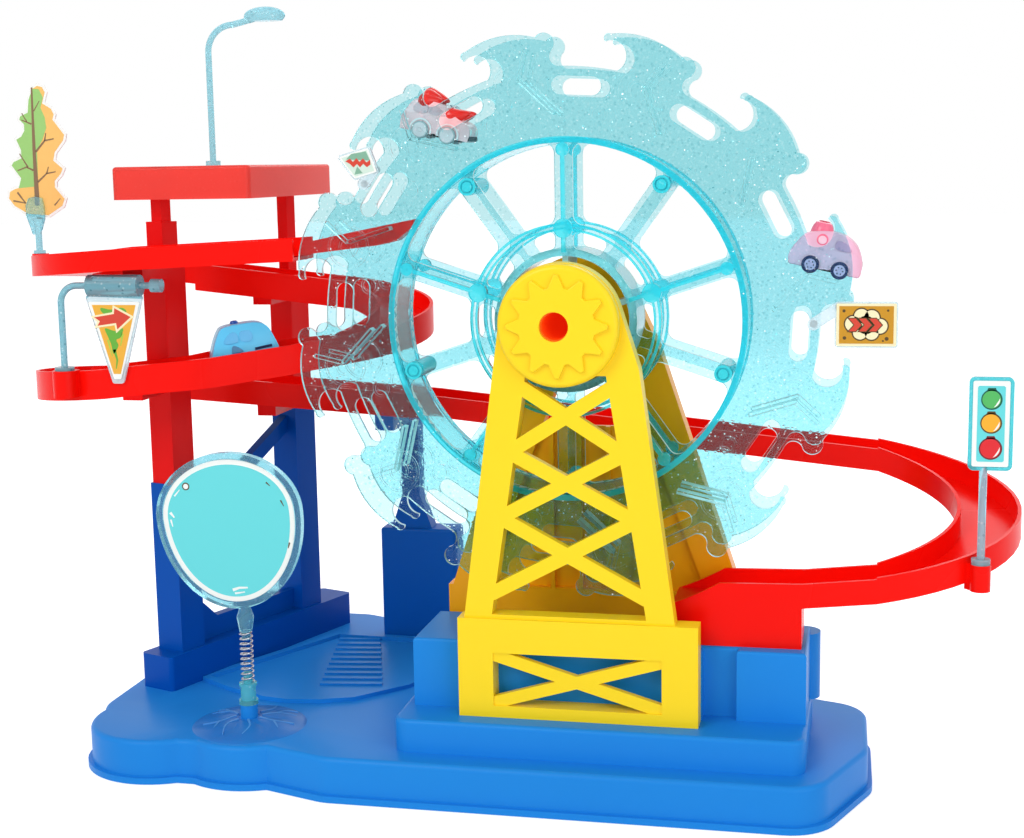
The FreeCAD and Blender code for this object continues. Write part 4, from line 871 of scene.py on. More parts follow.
def inset(outline, distance):
    """An outline drawn inward by a distance."""
    area = sum(a[0] * b[1] - b[0] * a[1] for a, b in zip(outline, outline[1:] + outline[:1]))
    way = 1 if area > 0 else -1
    made = []
    for i, (x, z) in enumerate(outline):
        before = Vector((x, z)) - Vector(outline[i - 1])
        after = Vector(outline[(i + 1) % len(outline)]) - Vector((x, z))
        n1 = Vector((-before.y, before.x)).normalized() * way
        n2 = Vector((-after.y, after.x)).normalized() * way
        middle = (n1 + n2).normalized()
        reach = distance / max(0.45, middle.dot(n1))
        made.append((x + middle.x * reach, z + middle.y * reach))
    return made


def curved(points, steps=5, closed=True):
    """A smooth line through points."""
    n = len(points)
    made = []
    for i in range(n if closed else n - 1):
        p = [Vector(points[(i + k) % n if closed else min(max(i + k, 0), n - 1)])
             for k in (-1, 0, 1, 2)]
        for k in range(steps):
            t = k / steps
            q = 0.5 * ((2 * p[1]) + (p[2] - p[0]) * t + (2 * p[0] - 5 * p[1] + 4 * p[2] - p[3]) * t * t
                       + (3 * p[1] - p[0] - 3 * p[2] + p[3]) * t ** 3)
            made.append(tuple(q))
    if not closed:
        made.append(tuple(points[-1]))
    return made


ink_step = 0.07
print("a layer of ink stands", ink_step, "mm proud")

# %% [markdown]
# ## The tree's print
# The crown is printed in two colours that meet along the trunk: green on the upper left, a tan that
# leans to orange on the right and below. Inside a white border, branches fork off a brown trunk.

# %% Tree print
tree_x, tree_z = -337.4, 308.0
crown = [(-6, 0), (-15, 5), (-19, 10), (-18, 15), (-14, 17), (-10, 18), (-10, 22), (-16, 30),
         (-14, 33), (-9, 35), (-9, 39), (-12, 46), (-8, 48), (-6, 51), (-6, 54), (-9, 57), (-8, 60),
         (-3, 62), (-2, 69), (1, 76), (5, 78), (9, 77), (11, 73), (9, 67), (14, 64), (16, 60),
         (15, 57), (22, 48), (21, 44), (15, 37), (14, 33), (20, 28), (18, 24), (14, 20), (14, 17),
         (20, 10), (18, 5), (8, -1)]
field = inset(crown, 1.1)
green_edge = [(6, 75), (8.5, 70), (6.5, 64), (9, 58), (9.5, 52), (6.5, 45), (2.5, 39), (2, 17.5),
              (-11, 16.5)]
green_part = field[6:20] + green_edge
branches = [([(-0.5, 27), (-5, 29), (-11, 27)], 1.2), ([(-4, 29), (-9, 37)], 1.0),
            ([(-12, 14), (-7, 7.5)], 1.2), ([(-15, 9), (-7, 7.5)], 1.0), ([(2, 20), (8, 25), (14, 26)], 1.1),
            ([(8, 25), (9.5, 29)], 0.8), ([(1.8, 38), (8, 44.5), (14, 45.5)], 1.3),
            ([(8, 44.5), (9, 49)], 0.9), ([(0, 54.5), (-6.5, 57)], 1.0), ([(-3, 56), (-6, 61)], 0.8),
            ([(2, 62), (6, 68)], 0.8), ([(12, 6), (16, 10)], 0.8)]
tree_print = Heap()
for face, way in ((54.4, -1), (55.6, 1)):
    def leaf(outline, layer, ink):
        moved = [(tree_x + x, tree_z + z) for x, z in outline]
        tree_print.stamp(moved, face + way * ink_step * layer, face - way * 0.1, ink)

    leaf(field, 1, tan_ink)
    leaf(green_part, 2, leaf_ink)
    leaf(stroke([(0.75, -2 if way > 0 else 6), (0.75, 40), (1.5, 76)], 3.2, 1.0), 3, bark_ink)
    for line, width in branches:
        leaf(stroke(line, width, width * 0.55), 3, bark_ink)
print("tree print faces", len(tree_print.make("tree_print", "tree").data.polygons))

# %% [markdown]
# ## The flag's print
# An amber field inside a white border, green brush strokes, and a red arrow with a cream edge that
# tells the cars to start.

# %% Flag print
flag_x, flag_z, flag_front = -293.3, 270.0, -6.8


def flag(outline):
    return [(flag_x + x, flag_z + z) for x, z in outline]


flag_field = [(19.4, -10.6), (46.6, -10.6), (35.3, -50.2), (30.7, -50.2)]
flag_arrow = [(20.8, -17.8), (33, -15.9), (33.4, -12.6), (43.0, -17.6), (34.6, -24.6), (34.0, -21.0),
              (22.6, -22.6), (24.2, -20.0)]
flag_print = Heap()


def on_flag(outline, layer, ink):
    flag_print.stamp(flag(outline), flag_front - ink_step * layer, flag_front + 0.1, ink)


on_flag(inset(flag_field, 0.2), 1, amber_ink)
on_flag(curved([(25, -12.5), (31, -13.4), (38, -12.4), (40.5, -15), (34, -17), (26.5, -15.6)]), 2,
        brush_ink)
on_flag(curved([(27, -24), (33, -25.5), (38, -24), (36.4, -29), (33.6, -30.6), (34.6, -34),
                (31.4, -38.5), (30.2, -33), (28.4, -28.5)]), 2, brush_ink)
on_flag(stroke([(32, -36), (33.5, -42), (32.6, -47)], 1.8, 0.5), 2, brush_ink)
on_flag(stroke([(28.4, -30.5), (30.6, -40)], 1.2, 0.4), 2, lime_ink)
on_flag(stroke([(37.6, -27), (36, -34)], 1.4, 0.5), 2, lime_ink)
on_flag(inset(flag_arrow, -1.15), 3, cream_ink)
on_flag(flag_arrow, 4, coral_ink)
print("flag print faces", len(flag_print.make("flag_print", "start_flag").data.polygons))

# %% [markdown]
# ## The traffic light's print
# Three discs on teal. Each has a dark outline, a little shade cap and a crescent of light, which
# make a flat print look like a lens.

# %% Traffic light print
light_front = -5.5
signal = Heap()


def on_light(outline, layer, ink):
    signal.stamp(outline, light_front - ink_step * layer, light_front + 0.1, ink)


on_light([(210.9, 180.0), (223.1, 180.0), (223.8, 180.7), (223.8, 218.3), (223.1, 219.0),
          (210.9, 219.0), (210.2, 218.3), (210.2, 180.7)], 1, teal_ink)
for z, radius, ink, edge_ink in ((212.0, 4.5, signal_green, deep_green),
                                 (199.9, 4.6, signal_amber, outline_ink),
                                 (186.8, 5.0, signal_red, wine_ink)):
    on_light([(214.6, z + radius), (219.6, z + radius), (218.9, z + radius + 1.5),
              (215.3, z + radius + 1.5)], 2, edge_ink)
    on_light(disc(217.1, z, radius + 0.75), 2, edge_ink)
    on_light(disc(217.0, z, radius), 3, ink)
    on_light(crescent(217.0, z, radius - 0.4, -75, 12, 0.9), 4, card_white)
print("light print faces", len(signal.make("traffic_light_print", "traffic_light").data.polygons))

# %% [markdown]
# ## The amber sign on the wheel
# The sign at the wheel's right is amber inside a cream border. A puff of cloud is drawn twice, a
# little larger in brown and then in cream, and red chevrons point the way to turn.

# %% Amber sign print
sign_card = -24.5
hazard_x, hazard_z = 154.5, 251.5
hazard = Heap()


def on_hazard(outline, layer, ink):
    hazard.stamp([(hazard_x + x, hazard_z + z) for x, z in outline],
                 sign_card - ink_step * layer, sign_card + 0.1, ink)


puffs = [(-0.2, 0.0, 4.6), (-6.5, 0.5, 3.9), (-2.4, 4.4, 3.6), (2.6, 3.6, 3.8), (6.6, -0.6, 3.7),
         (2.6, -4.0, 3.4), (-3.0, -3.8, 3.5)]
on_hazard([(-13.3, -9.4), (13.3, -9.4), (13.3, 9.4), (-13.3, 9.4)], 1, brown_amber_ink)
for x, z, radius in puffs:
    on_hazard(disc(x, z, radius + 0.7, 24), 2, outline_ink)
for x, z, radius in puffs:
    on_hazard(disc(x, z, radius, 24), 3, cream_ink)
for x in (-5.4, -0.4, 4.6):
    chevron = [(x - 3.2, 3.2), (x + 0.2, 3.2), (x + 3.0, 0), (x + 0.2, -3.2), (x - 3.2, -3.2),
               (x - 0.4, 0)]
    on_hazard(inset(chevron, -0.45), 4, outline_ink)
    on_hazard(chevron, 5, coral_ink)
specks = ((-11, 7, 0.8), (10.5, 7.2, 0.6), (-10.6, -6.6, 0.9), (10, -6.9, 1.0), (8.2, -8, 0.5))
for x, z, size in specks:
    on_hazard(disc(x, z, size, 10), 2, outline_ink)
print("amber print faces", len(hazard.make("hazard_print", "wheel").data.polygons))

# %% [markdown]
# ## The small diamond sign
# By the top hook a little diamond shows a sage green tip above and below, with a red zigzag
# between them.

# %% Diamond sign print
end_x, end_z = -108.03, 335.49
end = Heap()


def on_end(outline, layer, ink):
    end.stamp([(end_x + x, end_z + z) for x, z in outline], sign_card - ink_step * layer,
              sign_card + 0.1, ink)


diamond = [(-9.5, 3), (-2, -7), (9, -4), (5, 7)]
on_end(inset(diamond, 0.2), 1, pale_print)
on_end([(-3.6, 5.0), (4.4, 6.2), (6.6, 1.4), (-6.6, 2.2)], 2, sage_ink)
on_end([(-2.2, -5.8), (2.4, -5.0), (-0.6, -1.6)], 2, sage_ink)
zigzag = [(-7.0, 1.2), (-4.4, 2.6), (-2.8, 0.8), (-0.8, 2.8), (0.8, 0.8), (2.8, 2.6), (4.6, 0.4),
          (6.6, 1.8), (6.8, -0.6), (4.8, -2.0), (2.8, -0.2), (1.0, -2.0), (-0.6, -0.2), (-2.6, -2.0),
          (-4.4, -0.2)]
on_end(zigzag, 3, coral_ink)
print("diamond print faces", len(end.make("end_print", "wheel").data.polygons))

# %% [markdown]
# ## The round teal sign
# A teal disc of ink inside a white border. The sign leans back six degrees about its foot, so
# outlines are drawn upright and leaned before they are stamped.

# %% Lean and outline of the teal sign
mirror_front = -26.6
mirror_at = Vector((-182.0, 84.0))
lean = radians(-6.0)


def leaned(outline):
    made = []
    for x, z in outline:
        dx, dz = x - mirror_at.x, z - mirror_at.y
        made.append((mirror_at.x + dx * cos(lean) + dz * sin(lean),
                     mirror_at.y - dx * sin(lean) + dz * cos(lean)))
    return made


def egg(shrink, steps=72):
    """The sign's outline: a flat crown over a deeper chin."""
    made = []
    for k in range(steps):
        angle = 2 * pi * k / steps
        tall = (180.0 - 145.0 if sin(angle) > 0 else 145.0 - 92.0) - shrink
        made.append((-182.5 + (42.5 - shrink) * cos(angle), 145.0 + tall * sin(angle)))
    return made


print("teal outline points", len(egg(0.0)))

# %% [markdown]
# ## What is printed on the teal sign, and painted light
# The marks stay plain: a bolt's ring at the upper left, and a few short strokes along the edge: white
# ones are painted highlights, dark ones painted shade.

# %% Teal sign print
teal_print_and_painted_light = Heap()


def on_mirror(outline, layer, ink):
    teal_print_and_painted_light.stamp(leaned(outline), mirror_front - ink_step * layer, mirror_front + 0.1, ink)


on_mirror(egg(6.6), 1, teal_ink)
on_mirror(disc(-205.0, 163.0, 2.2, 24), 2, outline_ink)
on_mirror(disc(-205.0, 163.0, 1.5, 24), 3, card_white)
# White strokes: painted highlights along the sign's edge.
for line, width in (([(-216.5, 149), (-214.5, 146)], 1.6), ([(-216.8, 145), (-216.2, 141)], 1.1),
                    ([(-186, 102.6), (-182, 103.6), (-177, 103.4)], 1.7),
                    ([(-185, 100.6), (-179, 101.0)], 1.1), ([(-212.6, 158), (-209, 161.4)], 0.9),
                    ([(-164, 170.6), (-158, 168.4)], 0.9)):
    on_mirror(stroke(line, width, width * 0.5), 2, card_white)
# Dark strokes: painted shade along the sign's edge.
for line in ([(-150.6, 151), (-149.2, 147.6)], [(-148.8, 127), (-150.0, 124)],
             [(-157.6, 161.6), (-155.6, 159.4)]):
    on_mirror(stroke(line, 0.9, 0.4), 2, outline_ink)
print("teal print faces", len(teal_print_and_painted_light.make("teal_sign_print_and_painted_light", "mirror").data.polygons))

# %% [markdown]
# ## Petals on the mound
# Under the spring the base swells into a low mound with petals, like a flower. They are rings of
# points whose height follows a sine round the centre and fades toward the rim and the stub.

# %% Mound petals
mound_x, mound_y, base_top = -182.0, -25.0, 24.0
mound_radius, mound_high = 32.0, 4.6
dome_radius = (mound_radius ** 2 + mound_high ** 2) / (2 * mound_high)


def on_mound(x, y):
    """The height of the mound at a place of its plan."""
    reach = min(x * x + y * y, mound_radius ** 2)
    return base_top + mound_high - dome_radius + sqrt(dome_radius ** 2 - reach)


mound = Heap()
rings, around = 22, 108
points, faces = [], []
for r in range(rings + 1):
    reach = 6.0 + (31.6 - 6.0) * r / rings
    for k in range(around):
        turn = 2 * pi * k / around
        x, y = reach * cos(turn), reach * sin(turn)
        leafed = abs(sin(3.5 * turn + 0.4 * sin(reach / 4.0))) ** 0.6
        swell = sin(pi * min(1.0, (reach - 6.0) / 25.6)) ** 0.5
        points.append((mound_x + x, mound_y + y, on_mound(x, y) + 0.25 + 0.9 * leafed * swell))
for k in range(around):
    turn = 2 * pi * k / around
    points.append((mound_x + 32.2 * cos(turn), mound_y + 32.2 * sin(turn), base_top - 0.2))
for k in range(around):
    turn = 2 * pi * k / around
    points.append((mound_x + 5.9 * cos(turn), mound_y + 5.9 * sin(turn), base_top - 0.2))
for r in range(rings + 1):
    for k in range(around):
        a, b = r * around + k, r * around + (k + 1) % around
        faces.append([a, b, b + around, a + around])
last = (rings + 2) * around
for k in range(around):
    a, b = k, (k + 1) % around
    faces.append([a, b, last + b, last + a])
    faces.append([last - around + a, last - around + b, last + b, last + a])
mound.add(points, faces, mound_blue)
print("petal faces", len(mound.make("mound_petals", "playset").data.polygons))

# %% [markdown]
# ## Veins on the mound
# Raised veins fork outward over the petals. Each is a thin strip that follows the mound's curve.

# %% Mound veins
veins = Heap()
vein_lines = [[(7, 2), (14, 9), (24, 11)], [(7, -2), (16, -4), (27, -1)], [(-7, 1), (-15, 7), (-25, 6)],
              [(-7, -2), (-14, -10), (-23, -12)], [(2, -7), (6, -15), (5, -24)],
              [(-3, 7), (-6, 14), (-14, 21)], [(4, 7), (8, 16), (7, 25)], [(-4, -7), (-8, -15), (-6, -25)],
              [(14, 9), (16, 16), (22, 19)], [(-15, 7), (-20, 13), (-24, 12)], [(16, -4), (21, -11)],
              [(-14, -10), (-14, -18)]]
for line in vein_lines:
    flat = stroke(curved(line, 5, False), 1.3, 0.5)
    n = len(flat)
    top = [(mound_x + x, mound_y + y, on_mound(x, y) + 1.25) for x, y in flat]
    low = [(mound_x + x, mound_y + y, on_mound(x, y) - 0.3) for x, y in flat]
    half = n // 2
    faces = [[i, i + 1, n - 2 - i, n - 1 - i] for i in range(half - 1)]
    sides = [[i, (i + 1) % n, n + (i + 1) % n, n + i] for i in range(n)]
    floors = [[n + i for i in reversed(face)] for face in faces]
    veins.add(top + low, faces + floors + sides, blue_vein)
print("vein faces", len(veins.make("mound_veins", "playset").data.polygons))

# %% [markdown]
# ## A coil spring
# The sign rocks on a coil of steel wire. A solid coil stays straight while the sign leans, and this one
# does too: it is drawn again as a tube along a straight helix from the base up to the sign, in place of
# the solid coil.

# %% Coil spring
coil_x, coil_y, coil_low, coil_high = -182.0, -25.0, 49.07, 77.93
coil_radius, wire_radius, coil_turns = 3.3, 0.55, 10
coil = Heap()
stops, round_wire = 30 * coil_turns, 10
points, faces = [], []
for i in range(stops + 1):
    angle = 2 * pi * coil_turns * i / stops
    out = Vector((cos(angle), sin(angle), 0))
    middle = Vector((coil_x, coil_y, coil_low + (coil_high - coil_low) * i / stops)) + out * coil_radius
    for k in range(round_wire):
        turn_angle = 2 * pi * k / round_wire
        points.append(middle + (out * cos(turn_angle) + Vector((0, 0, 1)) * sin(turn_angle)) * wire_radius)
for i in range(stops):
    for k in range(round_wire):
        a, b = i * round_wire + k, i * round_wire + (k + 1) % round_wire
        faces.append([a, b, b + round_wire, a + round_wire])
faces.append(list(range(round_wire - 1, -1, -1)))
faces.append([stops * round_wire + k for k in range(round_wire)])
coil.add(points, faces, steel)
coil_spring = coil.make("coil_spring", None)
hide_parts("spring")
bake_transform(coil_spring)
print("coil turns", coil_turns)

# %% [markdown]
# ## Where the cars sit
# Two cars ride in hooks of the wheel and one on the middle lane. Each is drawn level with its nose
# to the right, then tilted and turned into its seat. The lower edge of a shell runs over two
# wheel arches.

# %% Car seats and arches
car_seats = {"grey_car": ((-71.2529, 0.0, 346.6321), 13.0580, 0.0),
             "pink_car": ((132.3843, 0.0, 274.9648), 12.9294, 0.0),
             "blue_car": ((-195.3745, 28.4982, 220.3006), 6.5155, 208.0)}
car_half = 10.3
wheel_z, wheel_x = 4.5, 7.5


def seat_matrix(car):
    """From a car's own place, nose to +X, to its seat on the toy."""
    place, tilt, heading = car_seats[car]
    return (Matrix.Translation(place) @ Matrix.Rotation(radians(heading), 4, "Z")
            @ Matrix.Rotation(radians(tilt), 4, "Y"))


def arches(low, radius):
    """The lower edge of a shell, from the nose back to the tail, with its wheel arches."""
    line = []
    for centre in (wheel_x, -wheel_x):
        start = -radians(12)
        for k in range(15):
            angle = start + (pi - 2 * start) * k / 14
            line.append((centre + radius * cos(angle), max(low, wheel_z + radius * sin(angle))))
    return line


print("car seats", list(car_seats))

# %% [markdown]
# ## A cast shell
# A die-cast car is a shell over a chassis. Each shell starts from its side outline, is pulled to
# the car's width, then cut at the belt line, above which the cabin leans in. A bevel gives it the
# soft corners of a casting.


# %% Car shell maker
def car_shell(name, upper, low, belt, lean_in, paint, arch=5.3, soft=1.3):
    outline = curved(upper, 4, False) + arches(low, arch)
    n = len(outline)
    mesh = bpy.data.meshes.new(name)
    points = [(x, y, z) for y in (-car_half, car_half) for x, z in outline]
    faces = [list(range(n - 1, -1, -1)), list(range(n, 2 * n))]
    faces += [[i, (i + 1) % n, n + (i + 1) % n, n + i] for i in range(n)]
    mesh.from_pydata(points, [], faces)
    work = bmesh.new()
    work.from_mesh(mesh)
    for height in (belt, belt + 3.0):
        everything = work.verts[:] + work.edges[:] + work.faces[:]
        bmesh.ops.bisect_plane(work, geom=everything, plane_co=(0, 0, height), plane_no=(0, 0, 1))
    bmesh.ops.remove_doubles(work, verts=work.verts, dist=0.05)
    high = max(v.co.z for v in work.verts)
    for v in work.verts:
        if v.co.z > belt:
            v.co.y *= 1 - lean_in * (v.co.z - belt) / (high - belt)
        v.co.y *= 1 - 0.07 * max(0.0, abs(v.co.x) - 13.0) / 6.0
    bmesh.ops.recalc_face_normals(work, faces=work.faces)
    bmesh.ops.transform(work, matrix=Matrix.Scale(0.001, 4) @ seat_matrix(name), verts=work.verts)
    work.to_mesh(mesh)
    work.free()
    mesh.materials.append(paint)
    shell = bpy.data.objects.new(name + "_shell", mesh)
    bpy.context.scene.collection.objects.link(shell)
    corner = shell.modifiers.new("casting_corners", "BEVEL")
    corner.width = soft / 1000
    corner.segments = 3
    corner.limit_method = "ANGLE"
    corner.angle_limit = radians(40)
    corner.use_clamp_overlap = True
    smooth_walls(shell)
    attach(shell, name)
    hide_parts(name + "_body")
    return shell


print("shell maker ready")

# %% [markdown]
# ## Three shells
# The grey car is a wagon with a bonnet, the pink one a round dome, and the blue one a tall van.

# %% Three car shells
car_shell("grey_car", [(18.4, 3.0), (18.8, 7.5), (17.2, 11.6), (11.0, 14.0), (5.5, 17.4), (1.0, 19.6),
                       (-8.0, 20.2), (-14.0, 19.4), (-17.6, 13.5), (-19.4, 8.5), (-19.0, 3.0)],
          3.0, 12.5, 0.16, grey_paint, 5.5)
car_shell("pink_car", [(17.6, 2.4), (18.2, 8.0), (16.6, 13.0), (13.0, 18.4), (7.0, 21.8), (0.0, 22.6),
                       (-7.0, 21.6), (-13.5, 18.8), (-17.6, 12.5), (-19.4, 7.0), (-18.4, 2.4)],
          2.4, 13.5, 0.2, pink_paint, 4.9, 1.6)
car_shell("blue_car", [(19.6, 4.4), (20.0, 9.0), (17.8, 16.0), (14.2, 23.0), (10.6, 25.4), (1.0, 26.0),
                       (-8.0, 25.6), (-13.6, 22.6), (-16.6, 16.0), (-18.6, 9.0), (-18.4, 4.4)],
          4.4, 13.0, 0.36, blue_paint, 5.2, 1.6)
print("car shells made")

# %% [markdown]
# ## Windows and arch lips
# Windows are thin panels that follow the leaning cabin on both flanks. A lip runs round each wheel
# arch. Both are set a fraction of a millimetre into the shell, so that no gap shows.


# %% Window and arch makers
def side_panel(heap, outline, belt, lean_in, high, ink, proud=0.22):
    """A thin panel on both flanks of a cabin that leans in above its belt."""
    for side in (-1, 1):
        points = []
        for out in (proud, -0.6):
            for x, z in outline:
                y = car_half * (1 - lean_in * max(0.0, z - belt) / (high - belt)) + out
                y -= 0.07 * car_half * max(0.0, abs(x) - 13.0) / 6.0
                points.append((x, side * y, z))
        n = len(outline)
        sides = [[i, (i + 1) % n, n + (i + 1) % n, n + i] for i in range(n)]
        heap.add(points, [list(range(n)), list(range(2 * n - 1, n - 1, -1))] + sides, ink)


def arch_lips(heap, radius, thick, ink, out=0.75):
    """A raised lip round each wheel arch."""
    for centre in (wheel_x, -wheel_x):
        for side in (-1, 1):
            inner = [(centre + radius * cos(radians(a)), wheel_z + radius * sin(radians(a)))
                     for a in range(-14, 195, 8)]
            outer = [(centre + (radius + thick) * cos(radians(a)),
                      wheel_z + (radius + thick) * sin(radians(a))) for a in range(-14, 195, 8)]
            rows = []
            for ring, y in ((inner, car_half - 1.0), (inner, car_half + out * 0.7),
                            (outer, car_half + out), (outer, car_half - 1.0)):
                rows.append([(x, side * y, max(z, 2.6)) for x, z in ring])
            n = len(inner)
            faces = [[r * n + i, r * n + i + 1, (r + 1) % 4 * n + i + 1, (r + 1) % 4 * n + i]
                     for r in range(4) for i in range(n - 1)]
            heap.add([p for row in rows for p in row], faces + [[0, n, 2 * n, 3 * n],
                     [n - 1, 2 * n - 1, 3 * n - 1, 4 * n - 1]], ink)


print("windows and arches ready")

# %% [markdown]
# ## Lamps and bumpers
# A lamp is a rounded blob drawn out to one side, as a moulded flame shape. A bumper is a bar with
# rounded edges across one end.


# %% Lamp and bumper makers
def blob(heap, centre, size, ink, tip=(0, 0, 0), steps=20, rows=12):
    """A rounded lamp, pulled out toward a tip."""
    points, faces = [], []
    for r in range(rows + 1):
        polar = pi * r / rows
        for k in range(steps):
            turn = 2 * pi * k / steps
            unit = Vector((cos(polar), sin(polar) * cos(turn), sin(polar) * sin(turn)))
            pull = max(0.0, unit.x) ** 3
            points.append(Vector(centre) + Vector([u * s for u, s in zip(unit, size)])
                          + Vector(tip) * pull)
    for r in range(rows):
        for k in range(steps):
            a, b = r * steps + k, r * steps + (k + 1) % steps
            faces.append([a, b, b + steps, a + steps])
    heap.add(points, faces, ink)


def bumper(heap, x, z, tall, deep, ink):
    """A rounded bar across one end of a car."""
    half = car_half - 1.2
    outline = [(x - deep, z - tall), (x + deep * 0.6, z - tall), (x + deep, z - tall * 0.4),
               (x + deep, z + tall * 0.4), (x + deep * 0.6, z + tall), (x - deep, z + tall)]
    points = [(px, y, pz) for y in (-half, half) for px, pz in outline]
    n = len(outline)
    sides = [[i, (i + 1) % n, n + (i + 1) % n, n + i] for i in range(n)]
    heap.add(points, [list(range(n - 1, -1, -1)), list(range(n, 2 * n))] + sides, ink)


print("lamps and bumpers ready")

# %% [markdown]
# ## On the grey wagon
# Pale lips round big wheels, faint windows, and glossy red lamps in clusters: lobes on the roof
# with a tail over the cabin, and one on each side of the bonnet.

# %% Grey car parts
grey_trim = Heap()
arch_lips(grey_trim, 5.2, 0.9, grey_lip)
side_panel(grey_trim, curved([(-13.4, 13.6), (-12.4, 17.6), (-6.6, 18.0), (-6.2, 13.6)], 4), 12.5, 0.16,
           20.2, grey_window)
side_panel(grey_trim, curved([(-4.6, 13.6), (-4.8, 17.8), (0.2, 17.4), (4.8, 14.0)], 4), 12.5, 0.16, 20.2,
           grey_window)
blob(grey_trim, (-8.0, 0, 23.2), (4.0, 4.4, 3.8), beacon_red, (7.0, 0, -1.6))
for side in (-1, 1):
    blob(grey_trim, (-8.8, side * 6.6, 19.6), (4.0, 4.0, 4.2), beacon_red, (5.0, side * -1.5, 1.6))
    blob(grey_trim, (-7.6, side * 4.6, 22.4), (3.6, 3.6, 3.6), beacon_red, (3.6, side * -1.5, -0.6))
    blob(grey_trim, (6.6, side * 6.4, 14.6), (4.8, 3.9, 4.4), beacon_red, (5.4, 0, 3.4))
    grey_trim.turned([(0.2, 0), (1.9, 0), (1.6, 0.7), (0.4, 0.9)], (18.2, side * 6.0, 8.2), (1, 0, 0),
                     lamp_white, 20)
bumper(grey_trim, 18.4, 5.0, 1.3, 0.8, dark_part)
bumper(grey_trim, -18.6, 5.0, 1.3, 0.8, dark_part)
print("grey car parts", len(grey_trim.make("grey_car_trim", "grey_car",
                                           seat_matrix("grey_car")).data.polygons))

# %% [markdown]
# ## On the pink dome
# A round pink lamp with a cap sits on the roof, and a roundel on each flank of the cabin.

# %% Pink car parts
pink_trim = Heap()
pink_trim.turned([(6.0, 0), (5.9, 1.8), (5.2, 4.0), (4.2, 5.6), (2.9, 6.2), (0.4, 6.3)],
                 (-5.6, 0, 20.2), (0, 0, 1), beacon_pink, 36)
pink_trim.turned([(2.9, 0), (3.0, 0.5), (2.4, 0.9), (0.4, 0.9)], (-5.6, 0, 26.0), (0, 0, 1), beacon_cap, 28)
for side in (-1, 1):
    pink_trim.turned([(3.2, -1.5), (3.1, 0.3), (2.4, 0.5), (0.3, 0.5)], (-4.4, side * 8.9, 17.6),
                     (0, side, 0.12), beacon_pink, 28)
    pink_trim.turned([(2.2, -1.2), (2.1, 0.8), (1.4, 1.0), (0.3, 1.0)], (-4.4, side * 8.9, 17.6),
                     (0, side, 0.12), pale_pink, 28)
    pink_trim.turned([(0.2, 0), (1.6, 0), (1.3, 0.7), (0.3, 0.9)], (17.4, side * 5.6, 9.0), (1, 0, 0),
                     lamp_white, 20)
side_panel(pink_trim, curved([(3.4, 14.6), (3.0, 18.6), (7.6, 18.4), (11.2, 14.8)], 4), 13.5, 0.2, 22.6,
           pink_window)
bumper(pink_trim, 17.4, 4.6, 1.4, 0.9, pale_pink)
bumper(pink_trim, -18.0, 4.6, 1.4, 0.8, dark_part)
print("pink car parts", len(pink_trim.make("pink_car_trim", "pink_car",
                                           seat_matrix("pink_car")).data.polygons))

# %% [markdown]
# ## On the blue van
# A small dark blue lamp on a white ring, windows close to the body's own blue, a dark slot low on
# each flank and a pale stripe near the floor.

# %% Blue car parts
blue_trim = Heap()
blue_trim.turned([(2.4, 0), (2.3, 1.4), (1.7, 2.2), (0.3, 2.4)], (4.2, 0, 25.6), (0, 0, 1), beacon_blue, 28)
blue_trim.turned([(3.0, 0), (2.9, 0.6), (0.3, 0.7)], (4.2, 0, 25.4), (0, 0, 1), lamp_white, 28)
side_panel(blue_trim, curved([(4.4, 16.4), (4.8, 21.6), (8.6, 21.4), (12.4, 16.6)], 4), 13.0, 0.36, 26.0,
           blue_shade)
side_panel(blue_trim, curved([(2.2, 16.4), (2.4, 21.6), (-3.4, 21.6), (-3.6, 16.4)], 4), 13.0, 0.36, 26.0,
           blue_shade)
side_panel(blue_trim, curved([(7.2, 14.6), (2.2, 11.0), (7.4, 9.8), (8.8, 11.0)], 4), 13.0, 0.36, 26.0,
           teal_window)
side_panel(blue_trim, [(-4.6, 10.4), (-14.4, 11.0), (-14.4, 12.4), (-4.6, 11.8)], 13.0, 0.36, 26.0,
           navy_slot)
side_panel(blue_trim, [(18.2, 6.2), (-17.8, 6.2), (-17.8, 7.5), (18.2, 7.5)], 13.0, 0.36, 26.0,
           pale_stripe)
print("blue car parts", len(blue_trim.make("blue_car_trim", "blue_car",
                                           seat_matrix("blue_car")).data.polygons))

# %% [markdown]
# ## The van's windscreen
# A plain screen in a grey surround leans back on the van's nose. It is two thin boxes, the screen
# a little prouder than its surround.

# %% Windscreen
screens = Heap()
screen = [(18.55, 11.0), (15.9, 18.8)]
for half, proud, ink in ((8.0, 0.25, van_front), (6.4, 0.45, blue_shade)):
    (x0, z0), (x1, z1) = screen
    grow = (8.0 - half) * 0.5
    points = [(x0 + out + grow * 0.3, y * 1.0, z0 + grow) for out in (proud, -1.2) for y in (-half, half)]
    points += [(x1 + out - grow * 0.1, y * 0.9, z1 - grow) for out in (proud, -1.2)
               for y in (-half, half)]
    screens.add(points, [[0, 1, 5, 4], [2, 3, 7, 6], [0, 2, 6, 4], [1, 3, 7, 5], [4, 5, 7, 6],
                         [0, 1, 3, 2]], ink)
screens.make("blue_car_front", "blue_car", seat_matrix("blue_car"))
print("screen from", screen[0], "to", screen[1])

# %% [markdown]
# ## Hub caps
# The tyres stay as they are. A cap in each dish gives the wheel its face, and turns with it.

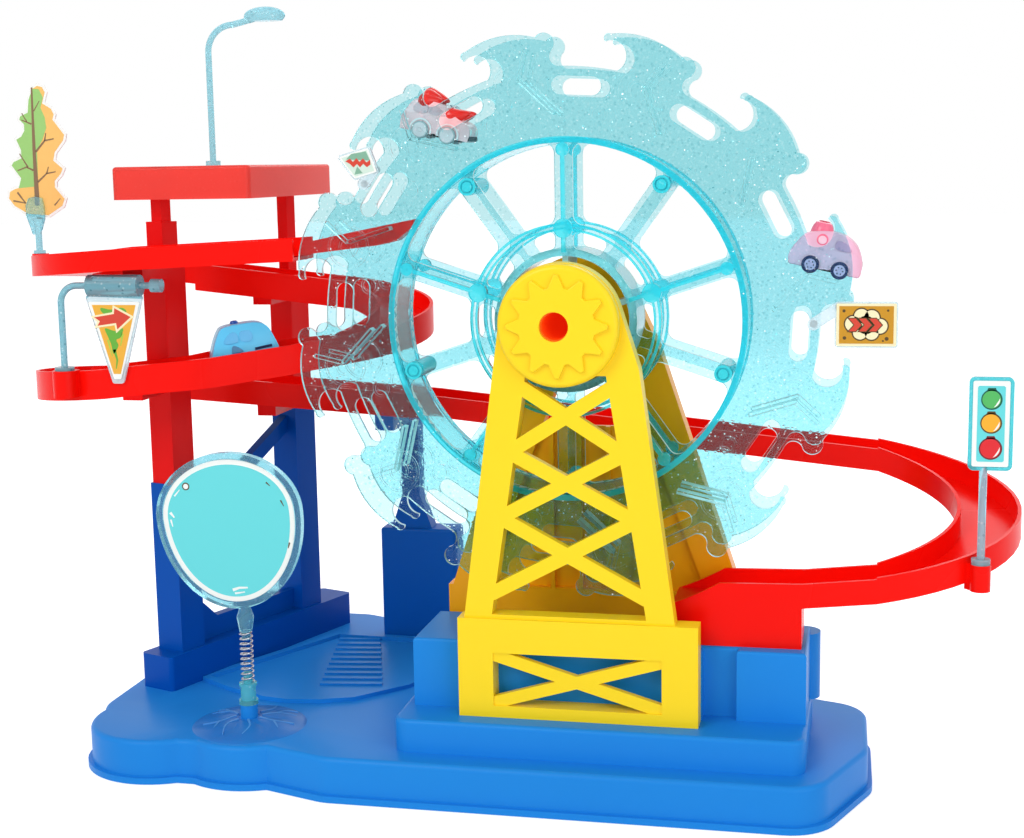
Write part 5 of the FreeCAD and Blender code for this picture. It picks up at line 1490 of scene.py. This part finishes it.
# %% Hub caps
hubs = (("grey", grey_cap, 3.7, 0), ("pink", lilac_cap, 2.9, 6), ("blue", grey_cap, 2.9, 6))
for colour, finish, radius, bolts in hubs:
    seat = seat_matrix(colour + "_car")
    dish = [(radius, -0.5), (radius, 0.1), (radius * 0.85, 0.28), (radius * 0.35, 0.1),
            (radius * 0.3, 0.45), (0.2, 0.5)]
    for end_name, x in (("front", wheel_x), ("rear", -wheel_x)):
        caps = Heap()
        for side in (-1, 1):
            caps.turned(dish, (x, side * 12.1, wheel_z), (0, side, 0), finish, 32)
            for k in range(bolts):
                bolt_x = x + radius * 0.6 * cos(2 * pi * k / bolts)
                bolt_z = wheel_z + radius * 0.6 * sin(2 * pi * k / bolts)
                caps.turned([(0.42, -0.2), (0.36, 0.32), (0.1, 0.36)], (bolt_x, side * 12.1, bolt_z),
                            (0, side, 0), dark_part, 10)
        caps.make(colour + "_" + end_name + "_caps", colour + "_" + end_name + "_wheels", seat)
print("hub caps on", 2 * len(hubs), "axles")

# %% [markdown]
# ## Glitter
# The plates, drum and spokes are moulded with flakes in the plastic. Each flake is a tiny plate of
# foil, tilted its own way, and most lie just under the skin. They are laid where a ray straight at
# the plate meets it, so none floats in a slot.

# %% Glitter flakes
spread_out = random.Random(7)
flakes = Heap()
for name, out in (("wheel_plate_front", -1), ("wheel_plate_rear", 1)):
    sheet = BVHTree.FromObject(nodes[name], bpy.context.evaluated_depsgraph_get())
    for toward in (out, -out):
        laid = 0
        while laid < 420:
            angle, reach = spread_out.uniform(0, 2 * pi), sqrt(spread_out.uniform(0.094 ** 2, 0.149 ** 2))
            x, z = reach * cos(angle), 0.252 + reach * sin(angle)
            start = Vector((x, 0.03 * toward if toward == out else out * 0.0005, z))
            way = Vector((0, -toward if toward == out else out, 0))
            spot, normal, _, _ = sheet.ray_cast(start, way)
            if spot is None or abs(normal.y) < 0.9:
                continue
            laid += 1
            size = spread_out.choice((0.2, 0.24, 0.3, 0.42))
            lie = Matrix.Rotation(spread_out.uniform(-0.3, 0.3), 3, "X") @ Matrix.Rotation(
                spread_out.uniform(-0.3, 0.3), 3, "Z")
            middle = spot * 1000 - way * 0.05
            ring = [middle + lie @ Vector((size * cos(pi / 3 * k), 0, size * sin(pi / 3 * k)))
                    for k in range(6)]
            under = [corner + way * 0.08 for corner in ring]
            sides = [[k, (k + 1) % 6, 6 + (k + 1) % 6, 6 + k] for k in range(6)]
            flakes.add(ring + under, [list(range(6)), list(range(11, 5, -1))] + sides,
                       foil if spread_out.random() < 0.8 else dark_foil)
flakes.make("glitter_flakes", "wheel")
print("flakes", len(flakes.faces))
